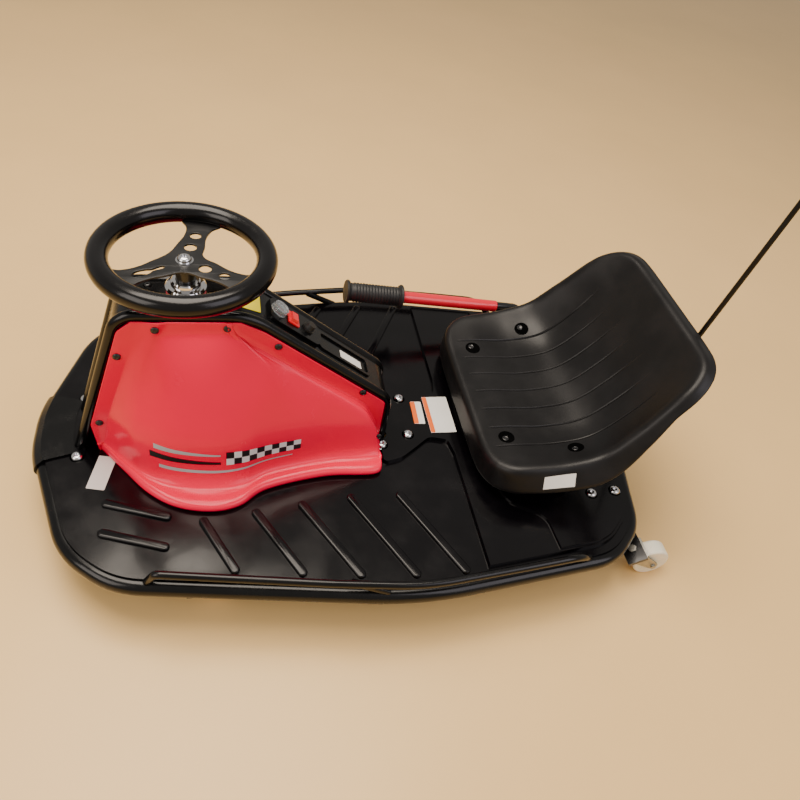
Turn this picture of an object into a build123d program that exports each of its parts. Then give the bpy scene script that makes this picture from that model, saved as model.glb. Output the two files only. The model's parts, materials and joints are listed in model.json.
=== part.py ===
from build123d import *
import math
import os

# Drift kart: one driven wheel under a steering tower, two tilting casters behind
# X runs forward, Y to the driver's left, Z up, in millimetres
# The origin is on the ground, under the middle of the whole kart with its flag

os.makedirs("parts", exist_ok=True)

# Running and seating clearances
seat_gap = 0.3
run_gap = 0.05

# Floor frame
frame_tube_r = 12.5
frame_z = 82.0
chassis_tube_r = 10.0
chassis_z = frame_z + frame_tube_r - chassis_tube_r
chassis_y = 135.0
cross_tube_r = 9.0
front_cross_x = 544.0
rear_cross_x = 81.0
# Corner points of the left half of the frame, front to rear: x, y, bend radius
frame_corners = [
    (598.0, 40.0, 190.0),
    (545.0, 215.0, 130.0),
    (478.0, 272.0, 120.0),
    (68.0, 327.0, 600.0),
    (-250.0, 290.0, 100.0),
    (-308.0, 235.0, 90.0),
    (-345.0, 60.0, 300.0),
]

# Side rails
rail_r = 5.5
rail_rise = 38.0
rail_out = 4.0
strut_x = 168.0
strut_lean = 54.0

# Floor pan
pan_t = 3.0
pan_inset = 2.0
pan_z = frame_z + frame_tube_r + seat_gap
floor_top = pan_z + pan_t
deck_rise = 7.0
step_rise = 4.0
deck_top = floor_top + deck_rise + step_rise
rib_rise = 4.0
rib_w = 13.0
# Pressed ribs of the floor: inner x, inner y, outer x, outer y, sides that have it
rib_lines = [
    (363.0, 190.0, 322.0, 272.0, (1, -1)),
    (289.0, 180.0, 231.0, 284.0, (1, -1)),
    (221.0, 170.0, 150.0, 294.0, (1, -1)),
    (146.0, 162.0, 71.0, 300.0, (1, -1)),
    (69.0, 162.0, -3.0, 300.0, (1, -1)),
    (496.0, 150.0, 414.0, 178.0, (1,)),
    (497.0, 200.0, 415.0, 228.0, (1,)),
]

# Steering axis, drive wheel and fork
steer_x = 379.0
tyre_r = 112.0
tyre_half_w = 20.0
wheel_gap = 6.0
rim_r = 80.0
hub_r = 26.0
hub_half_w = 19.0
axle_r = 8.0
leg_t = 6.0
leg_w = 40.0
leg_y = tyre_half_w + 2 * wheel_gap + 2.0
crown_gap = 26.0
crown_z = 2 * tyre_r + crown_gap
crown_t = 8.0
stem_r = 12.7
motor_r = 30.0
motor_len = 48.0
motor_z = tyre_r + 78.0
case_r = 46.0
case_t = 7.0

# Tower: side tubes follow a line set out from the cover's edge
tower_tube_r = 8.0
tower_y = 38.0
cover_edge_y = tower_y + tower_tube_r + seat_gap
tower_bottom_z = chassis_z + cross_tube_r + seat_gap
# Points of the tower line, front foot to rear foot: x, z, bend radius
tower_top_z = 351.0
tower_points = [
    (front_cross_x, tower_bottom_z, 0.0),
    (466.5, tower_top_z, 34.0),
    (297.5, tower_top_z, 90.0),
    (rear_cross_x, 189.0, 34.0),
    (rear_cross_x, tower_bottom_z, 0.0),
]
panel_t = 3.0
panel_rise = 2.0
panel_foot_z = floor_top + seat_gap
head_tube_r = 22.0
head_tube_bottom = 300.0
head_tube_top = 357.0
head_plate_t = 4.0
ring_r = 30.0
ring_h = 7.0
cup_r = 27.0
cup_h = 18.0

# Covers
cover_wall = 2.6
cover_bottom = floor_top + seat_gap
# Outer sections of the left cover, bottom to top:
# z, front x, rear x, front shoulder x, y, crown x, y, back shoulder x, y, rear y
cover_sections = [
    (cover_bottom, 512, 92, 440, 136, 352, 176, 270, 140, 119),
    (cover_bottom + 8, 512, 92, 441, 133, 352, 172, 270, 137, 116),
    (cover_bottom + 15, 510, 92, 442, 121, 352, 158, 268, 127, 105),
    (cover_bottom + 26, 507, 92, 445, 108, 352, 142, 266, 116, 92),
    (cover_bottom + 44, 503, 94, 452, 98, 352, 129, 264, 108, 80),
    (185, 490, 120, 452, 86, 352, 119, 262, 102, 68),
    (245, 468, 203, 438, 66, 352, 99, 262, 84, 58),
    (298, 449, 276, 420, 56, 350, 74, 288, 65, 54),
    (324, 434, 306, 410, 51.5, 352, 54, 316, 53, 51),
]

# Battery under the rear slope of the tower
battery_size = (120.0, 124.0, 80.0)
battery_x = 186.0

# Steering wheel
wheel_z = 419.0
wheel_r = 105.5
grip_r = 14.0
spoke_t = 3.0
spoke_z = 409.0
# Directions of the spokes in degrees, the slotted one first, and the bays between them
spoke_turns = (25.0, 151.0, 259.0)
spoke_spread = 19.0
bay_r = 13.0
bay_bend = 48.0
bolt_r = 11.0

# Seat: stations from the front lip to the top of the back
# x, z, slope in degrees, half width, side rise
seat_t = 5.0
seat_skirt = 34.0
seat_lip = 8.0
seat_stations = [
    (-54.0, 158.0, -28.0, 138.0, 3.0),
    (-72.0, 165.0, 0.0, 164.0, 5.0),
    (-110.0, 165.0, 0.0, 182.0, 13.0),
    (-180.0, 164.0, 4.0, 187.0, 24.0),
    (-243.0, 180.0, 30.0, 187.0, 30.0),
    (-292.0, 232.0, 52.0, 183.0, 30.0),
    (-330.0, 295.0, 58.0, 172.0, 24.0),
    (-356.0, 342.0, 60.0, 150.0, 14.0),
    (-372.0, 371.0, 62.0, 112.0, 5.0),
]
# Bolt holes of the seat: x, y
seat_holes = [(-105.5, 107.0), (-208.0, 145.0)]
seat_hole_r = 10.0
seat_bolt_r = 5.0
bracket_w = 30.0
bracket_foot = 10.0
bracket_t = 3.0
bracket_top = 150.0
spacer_r = 13.0

# Caster shaft, drift bar and rear casters
shaft_x = -256.0
shaft_z = 52.0
shaft_r = 10.0
shaft_half = 237.5
bearing_w = 24.0
bearing_wall = 8.0
arm_y = 32.5 - shaft_half
bar_y = arm_y - 35.0
bar_r = 11.0
bar_tilt = 5.5
bar_rear_x = -189.0
bar_rear_z = 157.0
bar_len = 194.0
grip_len = 108.0
bar_grip_r = 17.0
arm_r = 9.0
caster_y = shaft_half + 24.5
caster_r = 30.0
caster_half_w = 13.0
caster_tilt = 30.0
caster_x = -350.0
caster_trail = 22.0
caster_drop = 39.0
caster_stem_r = 5.0
caster_axle_r = 4.0
caster_side_gap = 2.5
caster_arm_t = 3.0
caster_crown_t = 4.0
swivel_gap = 0.5
nut_t = 3.0
nut_r = 7.0
mount_t = 6.0
mount_half = 16.0
mount_eye_r = 16.0

# Front casters, which stop the kart from tipping
front_caster_x = 366.0
front_caster_y = 250.0
front_caster_r = 22.0
front_caster_lift = 4.0
front_caster_half_w = 10.0
front_caster_trail = 18.0
front_plate_t = 3.2
front_plate_half = 20.0
front_plate_y = 228.0

# Pedal
pedal_x = 430.0
pedal_y = -222.0
pedal_len = 84.0
pedal_w = 56.0
pedal_tilt = 38.0
pedal_t = 4.0
strut_foot = 10.0
strut_head = 60.0
strut_y = 12.0

# Flag
pole_y = 52.0
pole_lean = 8.5
pole_r = 4.0
pole_bottom = 74.0
pole_top = 950.0
ferrule_r = 5.5
ferrule_len = 14.0
socket_r = 8.0
socket_low = 2.0
socket_len = 62.0
flag_hoist = 150.0
flag_droop = 60.0
flag_t = 3.0


def frame_line(height, outward=0.0):
    """Closed line of the frame's centreline at a height, moved outward."""
    left = [(x, y) for x, y, _ in frame_corners]
    right = [(x, -y) for x, y in reversed(left)]
    radii = [r for _, _, r in frame_corners]
    with BuildLine(Plane.XY.offset(height)) as line:
        FilletPolyline(*left, *right, radius=radii + radii[::-1], close=True)
        if outward:
            offset(amount=outward, mode=Mode.REPLACE)
    return line.line


def frame_y(x):
    """Left side of the frame's centreline at x, between two straight runs."""
    for (x0, y0, _), (x1, y1, _) in zip(frame_corners, frame_corners[1:]):
        if x1 <= x <= x0:
            return y1 + (y0 - y1) * (x - x1) / (x0 - x1)
    raise ValueError(f"x = {x} is off the frame's side")


def mirrored(points):
    """Closed outline from its left half, front to rear."""
    return points + [(x, -y) for x, y in reversed(points)]


# Perimeter frame: one bent tube
perimeter = frame_line(frame_z)
with BuildPart() as perimeter_frame:
    with BuildSketch(Plane(perimeter @ 0, z_dir=perimeter % 0)):
        Circle(frame_tube_r)
    sweep(path=perimeter)
perimeter_frame.part.label = "perimeter_frame"

# Space kept clear round the frame tube where other tubes butt against it
with BuildPart() as frame_clearance:
    with BuildSketch(Plane(perimeter @ 0, z_dir=perimeter % 0)):
        Circle(frame_tube_r + seat_gap)
    sweep(path=perimeter)

# Chassis: two long tubes and the cross tubes that carry tower and seat
cross_tubes = [front_cross_x, rear_cross_x, seat_holes[0][0], seat_holes[1][0]]
with BuildPart() as chassis_rails:
    for side in (1, -1):
        with BuildSketch(Plane(origin=(0, side * chassis_y, chassis_z), z_dir=(1, 0, 0))):
            Circle(chassis_tube_r)
        extrude(amount=620, both=True)
    for x in cross_tubes:
        with BuildSketch(Plane(origin=(x, 0, chassis_z), z_dir=(0, 1, 0))):
            Circle(cross_tube_r)
        extrude(amount=chassis_y, both=True)
    with BuildSketch(Plane.XY.offset(chassis_z)):
        with BuildLine():
            add(frame_line(0))
        make_face()
    inside = extrude(amount=2 * chassis_tube_r, both=True, mode=Mode.PRIVATE)
    add(inside, mode=Mode.INTERSECT)
    add(frame_clearance.part, mode=Mode.SUBTRACT)
chassis_rails.part.label = "chassis_rails"

# Floor pan: formed sheet with a raised deck, pressed ribs and the wheel opening
deck_outline = [
    (86.0, 101.0),
    (52.0, 92.0),
    (23.0, 70.0),
    (-2.0, 50.0),
    (-31.0, 57.0),
    (-36.0, 87.0),
    (-38.0, 330.0),
    (-400.0, 330.0),
]
deck_bends = [8.0, 40.0, 40.0, 16.0, 10.0, 14.0, 0.0, 0.0]
# Second step, round the seat
step_outline = [
    (-54.0, 7.0),
    (-62.0, 97.0),
    (-95.0, 195.0),
    (-148.0, 226.0),
    (-155.0, 330.0),
    (-400.0, 330.0),
]
step_bends = [4.0, 40.0, 40.0, 26.0, 0.0, 0.0]
foot_hole_gap = 2.5
wheel_opening_r = tyre_r + wheel_gap
slot_size = (70.0, 40.0)
slot_centre = (shaft_x - 14.0, arm_y)


def deck_sketch(outline, bends, inset):
    """Outline of a raised part of the floor inside the frame, inset from its edge."""
    with BuildSketch() as sketch:
        with BuildLine():
            FilletPolyline(*mirrored(outline), radius=bends + bends[::-1], close=True)
        make_face()
        with BuildLine():
            add(frame_line(0, -frame_tube_r - 1.0))
        make_face(mode=Mode.INTERSECT)
        if inset:
            offset(amount=-inset, mode=Mode.REPLACE)
    return sketch.sketch


with BuildPart() as floor_pan:
    with BuildSketch(Plane.XY.offset(pan_z)):
        with BuildLine():
            add(frame_line(0, -pan_inset))
        make_face()
    extrude(amount=pan_t)
    with BuildSketch(Plane.XY.offset(pan_z)):
        add(deck_sketch(deck_outline, deck_bends, 0))
    extrude(amount=pan_t + deck_rise, taper=12)
    with BuildSketch(Plane.XY.offset(floor_top)):
        add(deck_sketch(step_outline, step_bends, 4.0))
    extrude(amount=deck_rise + step_rise, taper=12)
    for x0, y0, x1, y1, sides in rib_lines:
        for side in sides:
            run = math.hypot(x1 - x0, y1 - y0)
            turn = math.degrees(math.atan2(side * (y1 - y0), x1 - x0))
            middle = ((x0 + x1) / 2, side * (y0 + y1) / 2)
            with BuildSketch(Plane.XY.offset(floor_top - 1.0)):
                with Locations(Location((*middle, 0), (0, 0, turn))):
                    SlotCenterToCenter(run, rib_w)
            extrude(amount=rib_rise + 1.0, taper=30)
    with BuildSketch(Plane.XY.offset(pan_z - 1.0)):
        add(deck_sketch(deck_outline, deck_bends, 6.0))
    extrude(amount=deck_rise + 1.0, taper=12, mode=Mode.SUBTRACT)
    with BuildSketch(Plane.XY.offset(pan_z - 1.0)):
        with Locations((steer_x, 0)):
            Circle(wheel_opening_r)
        with Locations((front_cross_x, tower_y), (front_cross_x, -tower_y),
                       (rear_cross_x, tower_y), (rear_cross_x, -tower_y)):
            Circle(tower_tube_r + foot_hole_gap)
        with Locations(slot_centre):
            RectangleRounded(*slot_size, 10)
    extrude(amount=deck_rise + step_rise + pan_t + 2.0, mode=Mode.SUBTRACT)
floor_pan.part.label = "floor_pan"

# Side rails: a thin tube with its ends down on the frame, and one strut
rail_z = frame_z + rail_rise
rail_points = [
    (436.0, 0.0, frame_z + frame_tube_r),
    (424.0, rail_out, rail_z),
    (190.0, rail_out + 4.0, rail_z + 1.0),
    (68.0, rail_out + 2.0, rail_z + 1.0),
    (-90.0, rail_out + 4.0, rail_z + 1.0),
    (-178.0, rail_out + 4.0, rail_z),
    (-205.0, -1.0, frame_z + frame_tube_r),
]
rail_bends = [10.0, 400.0, 400.0, 400.0, 60.0]


def rail_line(side):
    """Centreline of a side rail, held outward of the frame by the table's offset."""
    points = [(x, side * (frame_y(x) + out), z) for x, out, z in rail_points]
    with BuildLine() as line:
        FilletPolyline(*points, radius=rail_bends)
    return line.line


def bent_rail(side):
    """One side rail with its strut, its ends shaped to the frame tube."""
    path = rail_line(side)
    top_y = frame_y(strut_x) + rail_out
    foot_y = frame_y(strut_x - strut_lean)
    top = Vector(strut_x, side * top_y, rail_z)
    foot = Vector(strut_x - strut_lean, side * foot_y, frame_z + frame_tube_r - 2.0)
    with BuildPart() as rail:
        with BuildSketch(Plane(path @ 0, z_dir=path % 0)):
            Circle(rail_r)
        sweep(path=path)
        with BuildSketch(Plane(foot, z_dir=top - foot)):
            Circle(rail_r)
        extrude(amount=(top - foot).length)
        add(frame_clearance.part, mode=Mode.SUBTRACT)
        add(floor_pan.part, mode=Mode.SUBTRACT)
    return rail.part


with BuildPart() as side_rail_left:
    add(bent_rail(1))
side_rail_left.part.label = "side_rail_left"

with BuildPart() as side_rail_right:
    add(bent_rail(-1))
side_rail_right.part.label = "side_rail_right"

# Steering tower: two bent tubes, cut level where they stand on the cross tubes
def tower_line(y):
    """Centreline of a tower tube, started low enough to be cut level."""
    points = [(x, y, z) for x, z, _ in tower_points]
    bends = [r for _, _, r in tower_points[1:-1]]
    (x0, _, z0), (x1, _, z1) = points[:2]
    points[0] = (x0 + (x0 - x1) * tower_tube_r / (z1 - z0), y, z0 - tower_tube_r)
    with BuildLine() as line:
        FilletPolyline(*points, radius=bends)
    return line.line


with BuildPart() as tower_rails:
    for side in (1, -1):
        path = tower_line(side * tower_y)
        with BuildSketch(Plane(path @ 0, z_dir=path % 0)):
            Circle(tower_tube_r)
        sweep(path=path)
    split(bisect_by=Plane.XY.offset(tower_bottom_z), keep=Keep.TOP)
tower_rails.part.label = "tower_rails"

# Spine: one folded sheet between the tower tubes, with a console on its rear slope
slope = math.degrees(math.atan2(tower_points[2][1] - tower_points[3][1],
                                tower_points[2][0] - tower_points[3][0]))
slope_up = Vector(-math.sin(math.radians(slope)), 0, math.cos(math.radians(slope)))
slope_down = Vector(-math.cos(math.radians(slope)), 0, -math.sin(math.radians(slope)))
panel_half_w = tower_y - tower_tube_r - seat_gap
panel_top = panel_rise + panel_t / 2
console_h = 6.0
# Lengths down the slope from the end of its upper bend: centre, length, width
console = (78.0, 94.0, 50.0)
switch_at = 72.0
cap_at = 46.0
boot_at = 101.0
channel_at = 178.0
channel_size = (96.0, 30.0)
panel_span = front_cross_x - rear_cross_x + 140.0
heel_w = 60.0


def on_slope(run, height=0.0):
    """Plane on the outer face of the spine's slope, its X down the slope."""
    top = Vector(tower_points[2][0], 0, tower_points[2][1])
    place = top + slope_down * run + slope_up * (panel_top + height)
    return Plane(place, x_dir=slope_down, z_dir=slope_up)


with BuildPart() as spine_panel:
    with BuildSketch(Plane.XZ):
        with BuildLine():
            FilletPolyline(*[(x, z) for x, z, _ in tower_points], close=True,
                           radius=[r for _, _, r in tower_points])
        make_face()
        offset(amount=panel_top, mode=Mode.REPLACE)
        offset(amount=-panel_t, mode=Mode.SUBTRACT)
        with Locations(((front_cross_x + rear_cross_x) / 2, panel_foot_z)):
            Rectangle(panel_span, tower_bottom_z, align=(Align.CENTER, Align.MAX), mode=Mode.SUBTRACT)
        with Locations((rear_cross_x, deck_top + seat_gap)):
            Rectangle(heel_w, tower_bottom_z, align=(Align.CENTER, Align.MAX), mode=Mode.SUBTRACT)
    extrude(amount=panel_half_w, both=True)
    with BuildSketch(on_slope(console[0], -panel_t)):
        RectangleRounded(console[1], console[2], 12)
    extrude(amount=console_h + panel_t, taper=8)
    with BuildSketch(on_slope(console[0], -panel_t - 1)):
        RectangleRounded(console[1] - 8, console[2] - 8, 9)
    extrude(amount=console_h + 1, mode=Mode.SUBTRACT)
    with BuildSketch(on_slope(channel_at)):
        RectangleRounded(channel_size[0] + 10, channel_size[1] + 10, 8)
        RectangleRounded(*channel_size, 5, mode=Mode.SUBTRACT)
    extrude(amount=3.0)
    with BuildSketch(Plane.XY.offset(tower_top_z - 20)):
        with Locations((steer_x, 0)):
            Circle(head_tube_r + seat_gap)
    extrude(amount=40, mode=Mode.SUBTRACT)
    with BuildSketch(on_slope(switch_at, console_h + 1)):
        Rectangle(15.4, 21.4)
    extrude(amount=-console_h - panel_t - 2, mode=Mode.SUBTRACT)
    with BuildSketch(on_slope(cap_at, console_h + 1)):
        Circle(9.2)
    extrude(amount=-console_h - panel_t - 2, mode=Mode.SUBTRACT)
    with BuildSketch(on_slope(boot_at, console_h + 1)):
        Circle(7.2)
    extrude(amount=-console_h - panel_t - 2, mode=Mode.SUBTRACT)
spine_panel.part.label = "spine_panel"

# Power switch: a rocker in its frame
with BuildPart() as power_switch:
    with BuildSketch(on_slope(switch_at, console_h + seat_gap)):
        RectangleRounded(20, 26, 2)
    extrude(amount=2)
    with BuildSketch(on_slope(switch_at, console_h + 2)):
        Rectangle(12, 18)
    extrude(amount=5, taper=10)
    with BuildSketch(on_slope(switch_at, console_h + 1)):
        Rectangle(15, 21)
    extrude(amount=-console_h - panel_t)
power_switch.part.label = "power_switch"

# Charger port's cap and the rubber boot of the breaker
with BuildPart() as charger_cap:
    with BuildSketch(on_slope(cap_at, console_h + seat_gap)):
        Circle(13)
    extrude(amount=9, taper=8)
    with BuildSketch(on_slope(cap_at, console_h + 1)):
        Circle(9)
    extrude(amount=-console_h - panel_t)
charger_cap.part.label = "charger_cap"

with BuildPart() as breaker_boot:
    with BuildSketch(on_slope(boot_at, console_h + seat_gap)):
        RegularPolygon(11, 6)
    extrude(amount=3)
    with BuildSketch(on_slope(boot_at, console_h + 3)):
        Circle(8)
    extrude(amount=7, taper=12)
    with BuildSketch(on_slope(boot_at, console_h + 1)):
        Circle(7)
    extrude(amount=-console_h - panel_t)
breaker_boot.part.label = "breaker_boot"

# Head tube with the plates that tie it to the tower tubes
with BuildPart() as head_tube:
    with BuildSketch(Plane.XY.offset(head_tube_bottom)):
        with Locations((steer_x, 0)):
            Circle(head_tube_r)
    extrude(amount=head_tube_top - head_tube_bottom)
    for z in (head_tube_bottom + 2, tower_top_z - tower_tube_r - head_plate_t - 2):
        with BuildSketch(Plane.XY.offset(z)):
            with Locations((steer_x, 0)):
                RectangleRounded(70, 2 * panel_half_w, 8)
        extrude(amount=head_plate_t)
    with BuildSketch(Plane.XY.offset(head_tube_bottom)):
        with Locations((steer_x, 0)):
            Circle(stem_r + run_gap)
    extrude(amount=head_tube_top - head_tube_bottom, mode=Mode.SUBTRACT)
head_tube.part.label = "head_tube"

# Headset: a dust ring on the head tube, and the cup that turns with the stem
ring_z = head_tube_top + seat_gap
cup_z = ring_z + ring_h + seat_gap
with BuildPart() as headset_ring:
    with BuildSketch(Plane.XY.offset(ring_z)):
        with Locations((steer_x, 0)):
            Circle(ring_r)
            Circle(stem_r + 1.0, mode=Mode.SUBTRACT)
    extrude(amount=ring_h)
    chamfer(headset_ring.edges().group_by(Axis.Z)[-1].sort_by(SortBy.LENGTH)[-1], 2)
headset_ring.part.label = "headset_ring"

with BuildPart() as headset_cup:
    with BuildSketch(Plane(origin=(steer_x, 0, cup_z), x_dir=(1, 0, 0), z_dir=(0, -1, 0))):
        with BuildLine():
            Polyline((stem_r + seat_gap, 0), (cup_r - 3, 0), (cup_r, 4), (cup_r, 7))
            Line((cup_r, 7), (cup_r - 2, 9))
            TangentArc((cup_r - 2, 9), (stem_r + 5, cup_h), tangent=(-1, 1))
            Polyline((stem_r + 5, cup_h), (stem_r + seat_gap, cup_h), (stem_r + seat_gap, 0))
        make_face()
    revolve(axis=Axis((steer_x, 0, 0), (0, 0, 1)))
headset_cup.part.label = "headset_cup"

# Covers: a moulded shell over each side of the drive wheel, on a flat rim
cover_rim_t = 3.0
# The sections up to this one are joined straight, and those above it smoothly
flare_rows = 4
# Outline of the rim on the tower: x, z, bend radius
cover_rim = [
    (521.0, 152.0, 12.0),
    (463.0, 347.0, 30.0),
    (299.0, 347.0, 80.0),
    (86.0, 188.0, 30.0),
    (86.0, cover_bottom, 0.0),
    (515.0, cover_bottom, 0.0),
]


def cover_section(row, inset, z, side):
    """Closed section of a cover at one height, inset from its outside."""
    _, front, rear, fx, fy, cx, cy, bx, by, ry = row
    edge = cover_edge_y - (1.0 if inset else 0.0)
    front, rear = front - inset, rear + inset
    fx, bx = fx - inset * 0.4, bx
    fy, cy, by, ry = (y - inset for y in (fy, cy, by, ry))
    hollow = 11.0 * (by - edge) / (140.0 - cover_edge_y)
    with BuildSketch(Plane.XY.offset(z)) as sketch:
        with BuildLine():
            Line((front, side * edge), (fx, side * fy))
            ThreePointArc((fx, side * fy), (cx, side * cy), (bx, side * by))
            ThreePointArc((bx, side * by),
                          ((bx + rear) / 2, side * ((by + ry) / 2 - hollow)),
                          (rear, side * ry))
            Line((rear, side * ry), (rear, side * edge))
            Line((rear, side * edge), (front, side * edge))
        make_face()
    return sketch.sketch


def cover_body(side):
    """A cover: loft of its sections with a rim, hollowed from inside and below."""
    rows = cover_sections
    rim_plane = Plane(origin=(0, side * cover_edge_y, 0), x_dir=(1, 0, 0), z_dir=(0, -1, 0))
    with BuildPart() as body:
        for first, last, straight in ((0, flare_rows, True), (flare_rows, len(rows), False)):
            with BuildPart(mode=Mode.ADD):
                for row in rows[first:last + 1]:
                    add(cover_section(row, 0.0, row[0], side))
                loft(ruled=straight)
        with BuildSketch(rim_plane):
            with BuildLine():
                FilletPolyline(*[(x, z) for x, z, _ in cover_rim], close=True,
                               radius=[r for _, _, r in cover_rim])
            make_face()
        extrude(amount=-side * cover_rim_t)
    with BuildPart() as hollow:
        for first, last, straight in ((0, flare_rows, True), (flare_rows, len(rows), False)):
            with BuildPart(mode=Mode.ADD):
                for row in rows[first:last + 1]:
                    add(cover_section(row, cover_wall, row[0] - cover_wall, side))
                loft(ruled=straight)
    with BuildPart() as shell:
        add(body.part)
        add(hollow.part, mode=Mode.SUBTRACT)
    return shell.part


with BuildPart() as cover_left:
    add(cover_body(1))
cover_left.part.label = "cover_left"

with BuildPart() as cover_right:
    add(cover_body(-1))
cover_right.part.label = "cover_right"


def side_plane(y):
    """Upright plane across Y, seen from the right: X forward, Z up, extrudes to -Y."""
    return Plane(origin=(0, y, 0), x_dir=(1, 0, 0), z_dir=(0, -1, 0))


# Fork: stem, crown, two legs and the axle fixed in them
stem_top = spoke_z - seat_gap
with BuildPart() as fork:
    with BuildSketch(Plane.XY.offset(crown_z)):
        with Locations((steer_x, 0)):
            RectangleRounded(leg_w + 8, 2 * (leg_y + leg_t), 10)
    extrude(amount=crown_t)
    with BuildSketch(Plane.XY.offset(crown_z)):
        with Locations((steer_x, 0)):
            Circle(stem_r)
    extrude(amount=stem_top - crown_z)
    for y in (leg_y + leg_t, -leg_y):
        with BuildSketch(side_plane(y)):
            with Locations((steer_x, tyre_r)):
                Circle(leg_w / 2 - 2)
            with Locations((steer_x, crown_z + crown_t / 2)):
                Rectangle(leg_w, crown_t)
            make_hull()
        extrude(amount=leg_t)
    with BuildSketch(side_plane(leg_y + leg_t + 8)):
        with Locations((steer_x, tyre_r)):
            Circle(axle_r)
    extrude(amount=2 * (leg_y + leg_t + 8))
fork.part.label = "fork"

# Drive wheel: spoked hub and rim in one, with the tyre on it
with BuildPart() as drive_hub:
    with BuildSketch(Plane.XZ):
        with Locations((steer_x, tyre_r)):
            Circle(rim_r - seat_gap)
            Circle(rim_r - 10, mode=Mode.SUBTRACT)
    extrude(amount=hub_half_w, both=True)
    with BuildSketch(Plane.XZ):
        with Locations((steer_x, tyre_r)):
            Circle(hub_r)
    extrude(amount=hub_half_w + wheel_gap, both=True)
    with BuildSketch(Plane.XZ):
        with Locations((steer_x, tyre_r)):
            with PolarLocations(0, 5):
                with Locations((rim_r / 2, 0)):
                    Rectangle(rim_r - 8, 20)
    extrude(amount=7, both=True)
    with BuildSketch(Plane.XZ):
        with Locations((steer_x, tyre_r)):
            Circle(axle_r + run_gap)
    extrude(amount=2 * hub_half_w, both=True, mode=Mode.SUBTRACT)
drive_hub.part.label = "drive_hub"

with BuildPart() as drive_tyre:
    with BuildSketch(Plane.XY.offset(tyre_r)):
        with BuildLine():
            Line((steer_x + rim_r, tyre_half_w - 2), (steer_x + rim_r, -tyre_half_w + 2))
            Line((steer_x + rim_r, -tyre_half_w + 2), (steer_x + rim_r + 12, -tyre_half_w))
            ThreePointArc((steer_x + rim_r + 12, -tyre_half_w), (steer_x + tyre_r, 0),
                          (steer_x + rim_r + 12, tyre_half_w))
            Line((steer_x + rim_r + 12, tyre_half_w), (steer_x + rim_r, tyre_half_w - 2))
        make_face()
    revolve(axis=Axis((steer_x, 0, tyre_r), (0, 1, 0)))
drive_tyre.part.label = "drive_tyre"

# Drive motor beside the left leg, and the chain case inside the right leg
motor_y = leg_y + leg_t + seat_gap
with BuildPart() as drive_motor:
    with BuildSketch(side_plane(motor_y)):
        with Locations((steer_x, motor_z)):
            Circle(motor_r)
    extrude(amount=-motor_len)
    fillet(drive_motor.edges().sort_by(Axis.Y)[-1], 5)
    with BuildSketch(side_plane(motor_y)):
        with Locations((steer_x, motor_z)):
            Rectangle(leg_w + 30, 44)
    extrude(amount=-4)
drive_motor.part.label = "drive_motor"

case_y = leg_y - seat_gap
with BuildPart() as chain_case:
    with BuildSketch(side_plane(-case_y + case_t)):
        with Locations((steer_x, tyre_r)):
            Circle(case_r)
        with Locations((steer_x, motor_z)):
            Circle(case_r / 2)
        make_hull()
        with Locations((steer_x, tyre_r)):
            Circle(hub_r + wheel_gap / 2, mode=Mode.SUBTRACT)
    extrude(amount=case_t)
chain_case.part.label = "chain_case"

# Battery: the hidden heavy mass, strapped down under the rear slope
with BuildPart() as battery_block:
    with BuildSketch(Plane.XY.offset(floor_top + seat_gap)):
        with Locations((battery_x, 0)):
            RectangleRounded(battery_size[0], battery_size[1], 5)
    extrude(amount=battery_size[2])
battery_block.part.label = "battery_block"

# Steering wheel: pressed three-spoke plate, padded rim and hub bolt
spoke_end = wheel_r - math.sqrt((grip_r + seat_gap) ** 2 - (wheel_z - spoke_z - spoke_t) ** 2)
plate_corners = []
for turn, after in zip(spoke_turns, spoke_turns[1:] + (spoke_turns[0] + 360.0,)):
    for angle, radius in ((turn - spoke_spread, wheel_r), (turn + spoke_spread, wheel_r),
                          ((turn + after) / 2, bay_r)):
        plate_corners.append((radius * math.cos(math.radians(angle)),
                              radius * math.sin(math.radians(angle))))
with BuildPart() as steering_spokes:
    with BuildSketch(Plane.XY.offset(spoke_z)):
        with BuildLine(Plane(origin=(steer_x, 0, spoke_z))):
            FilletPolyline(*plate_corners, close=True, radius=[0.0, 0.0, bay_bend] * 3)
        make_face()
        with Locations((steer_x, 0)):
            Circle(spoke_end, mode=Mode.INTERSECT)
    extrude(amount=spoke_t)
    with BuildSketch(Plane.XY.offset(spoke_z)):
        with Locations(Location((steer_x, 0, 0), (0, 0, spoke_turns[0]))):
            Circle(6.0)
            with Locations((56, 0)):
                SlotOverall(44, 7)
        for turn in spoke_turns[1:]:
            with Locations(Location((steer_x, 0, 0), (0, 0, turn))):
                with Locations((45, 0)):
                    Circle(7.5)
                with Locations((68, 0)):
                    Circle(6.5)
    extrude(amount=spoke_t, mode=Mode.SUBTRACT)
steering_spokes.part.label = "steering_spokes"

with BuildPart() as steering_rim:
    with BuildSketch(Plane.XZ):
        with Locations((steer_x + wheel_r, wheel_z)):
            Circle(grip_r)
    revolve(axis=Axis((steer_x, 0, 0), (0, 0, 1)))
steering_rim.part.label = "steering_rim"

with BuildPart() as hub_bolt:
    with BuildSketch(Plane(origin=(steer_x, 0, spoke_z + spoke_t + seat_gap),
                           x_dir=(1, 0, 0), z_dir=(0, -1, 0))):
        with BuildLine():
            Polyline((3.5, 10), (3.5, 6), (0, 6), (0, 0), (bolt_r, 0), (bolt_r, 2))
            ThreePointArc((bolt_r, 2), (bolt_r - 3, 7), (3.5, 10))
        make_face()
    revolve(axis=Axis((steer_x, 0, 0), (0, 0, 1)))
hub_bolt.part.label = "hub_bolt"

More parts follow.
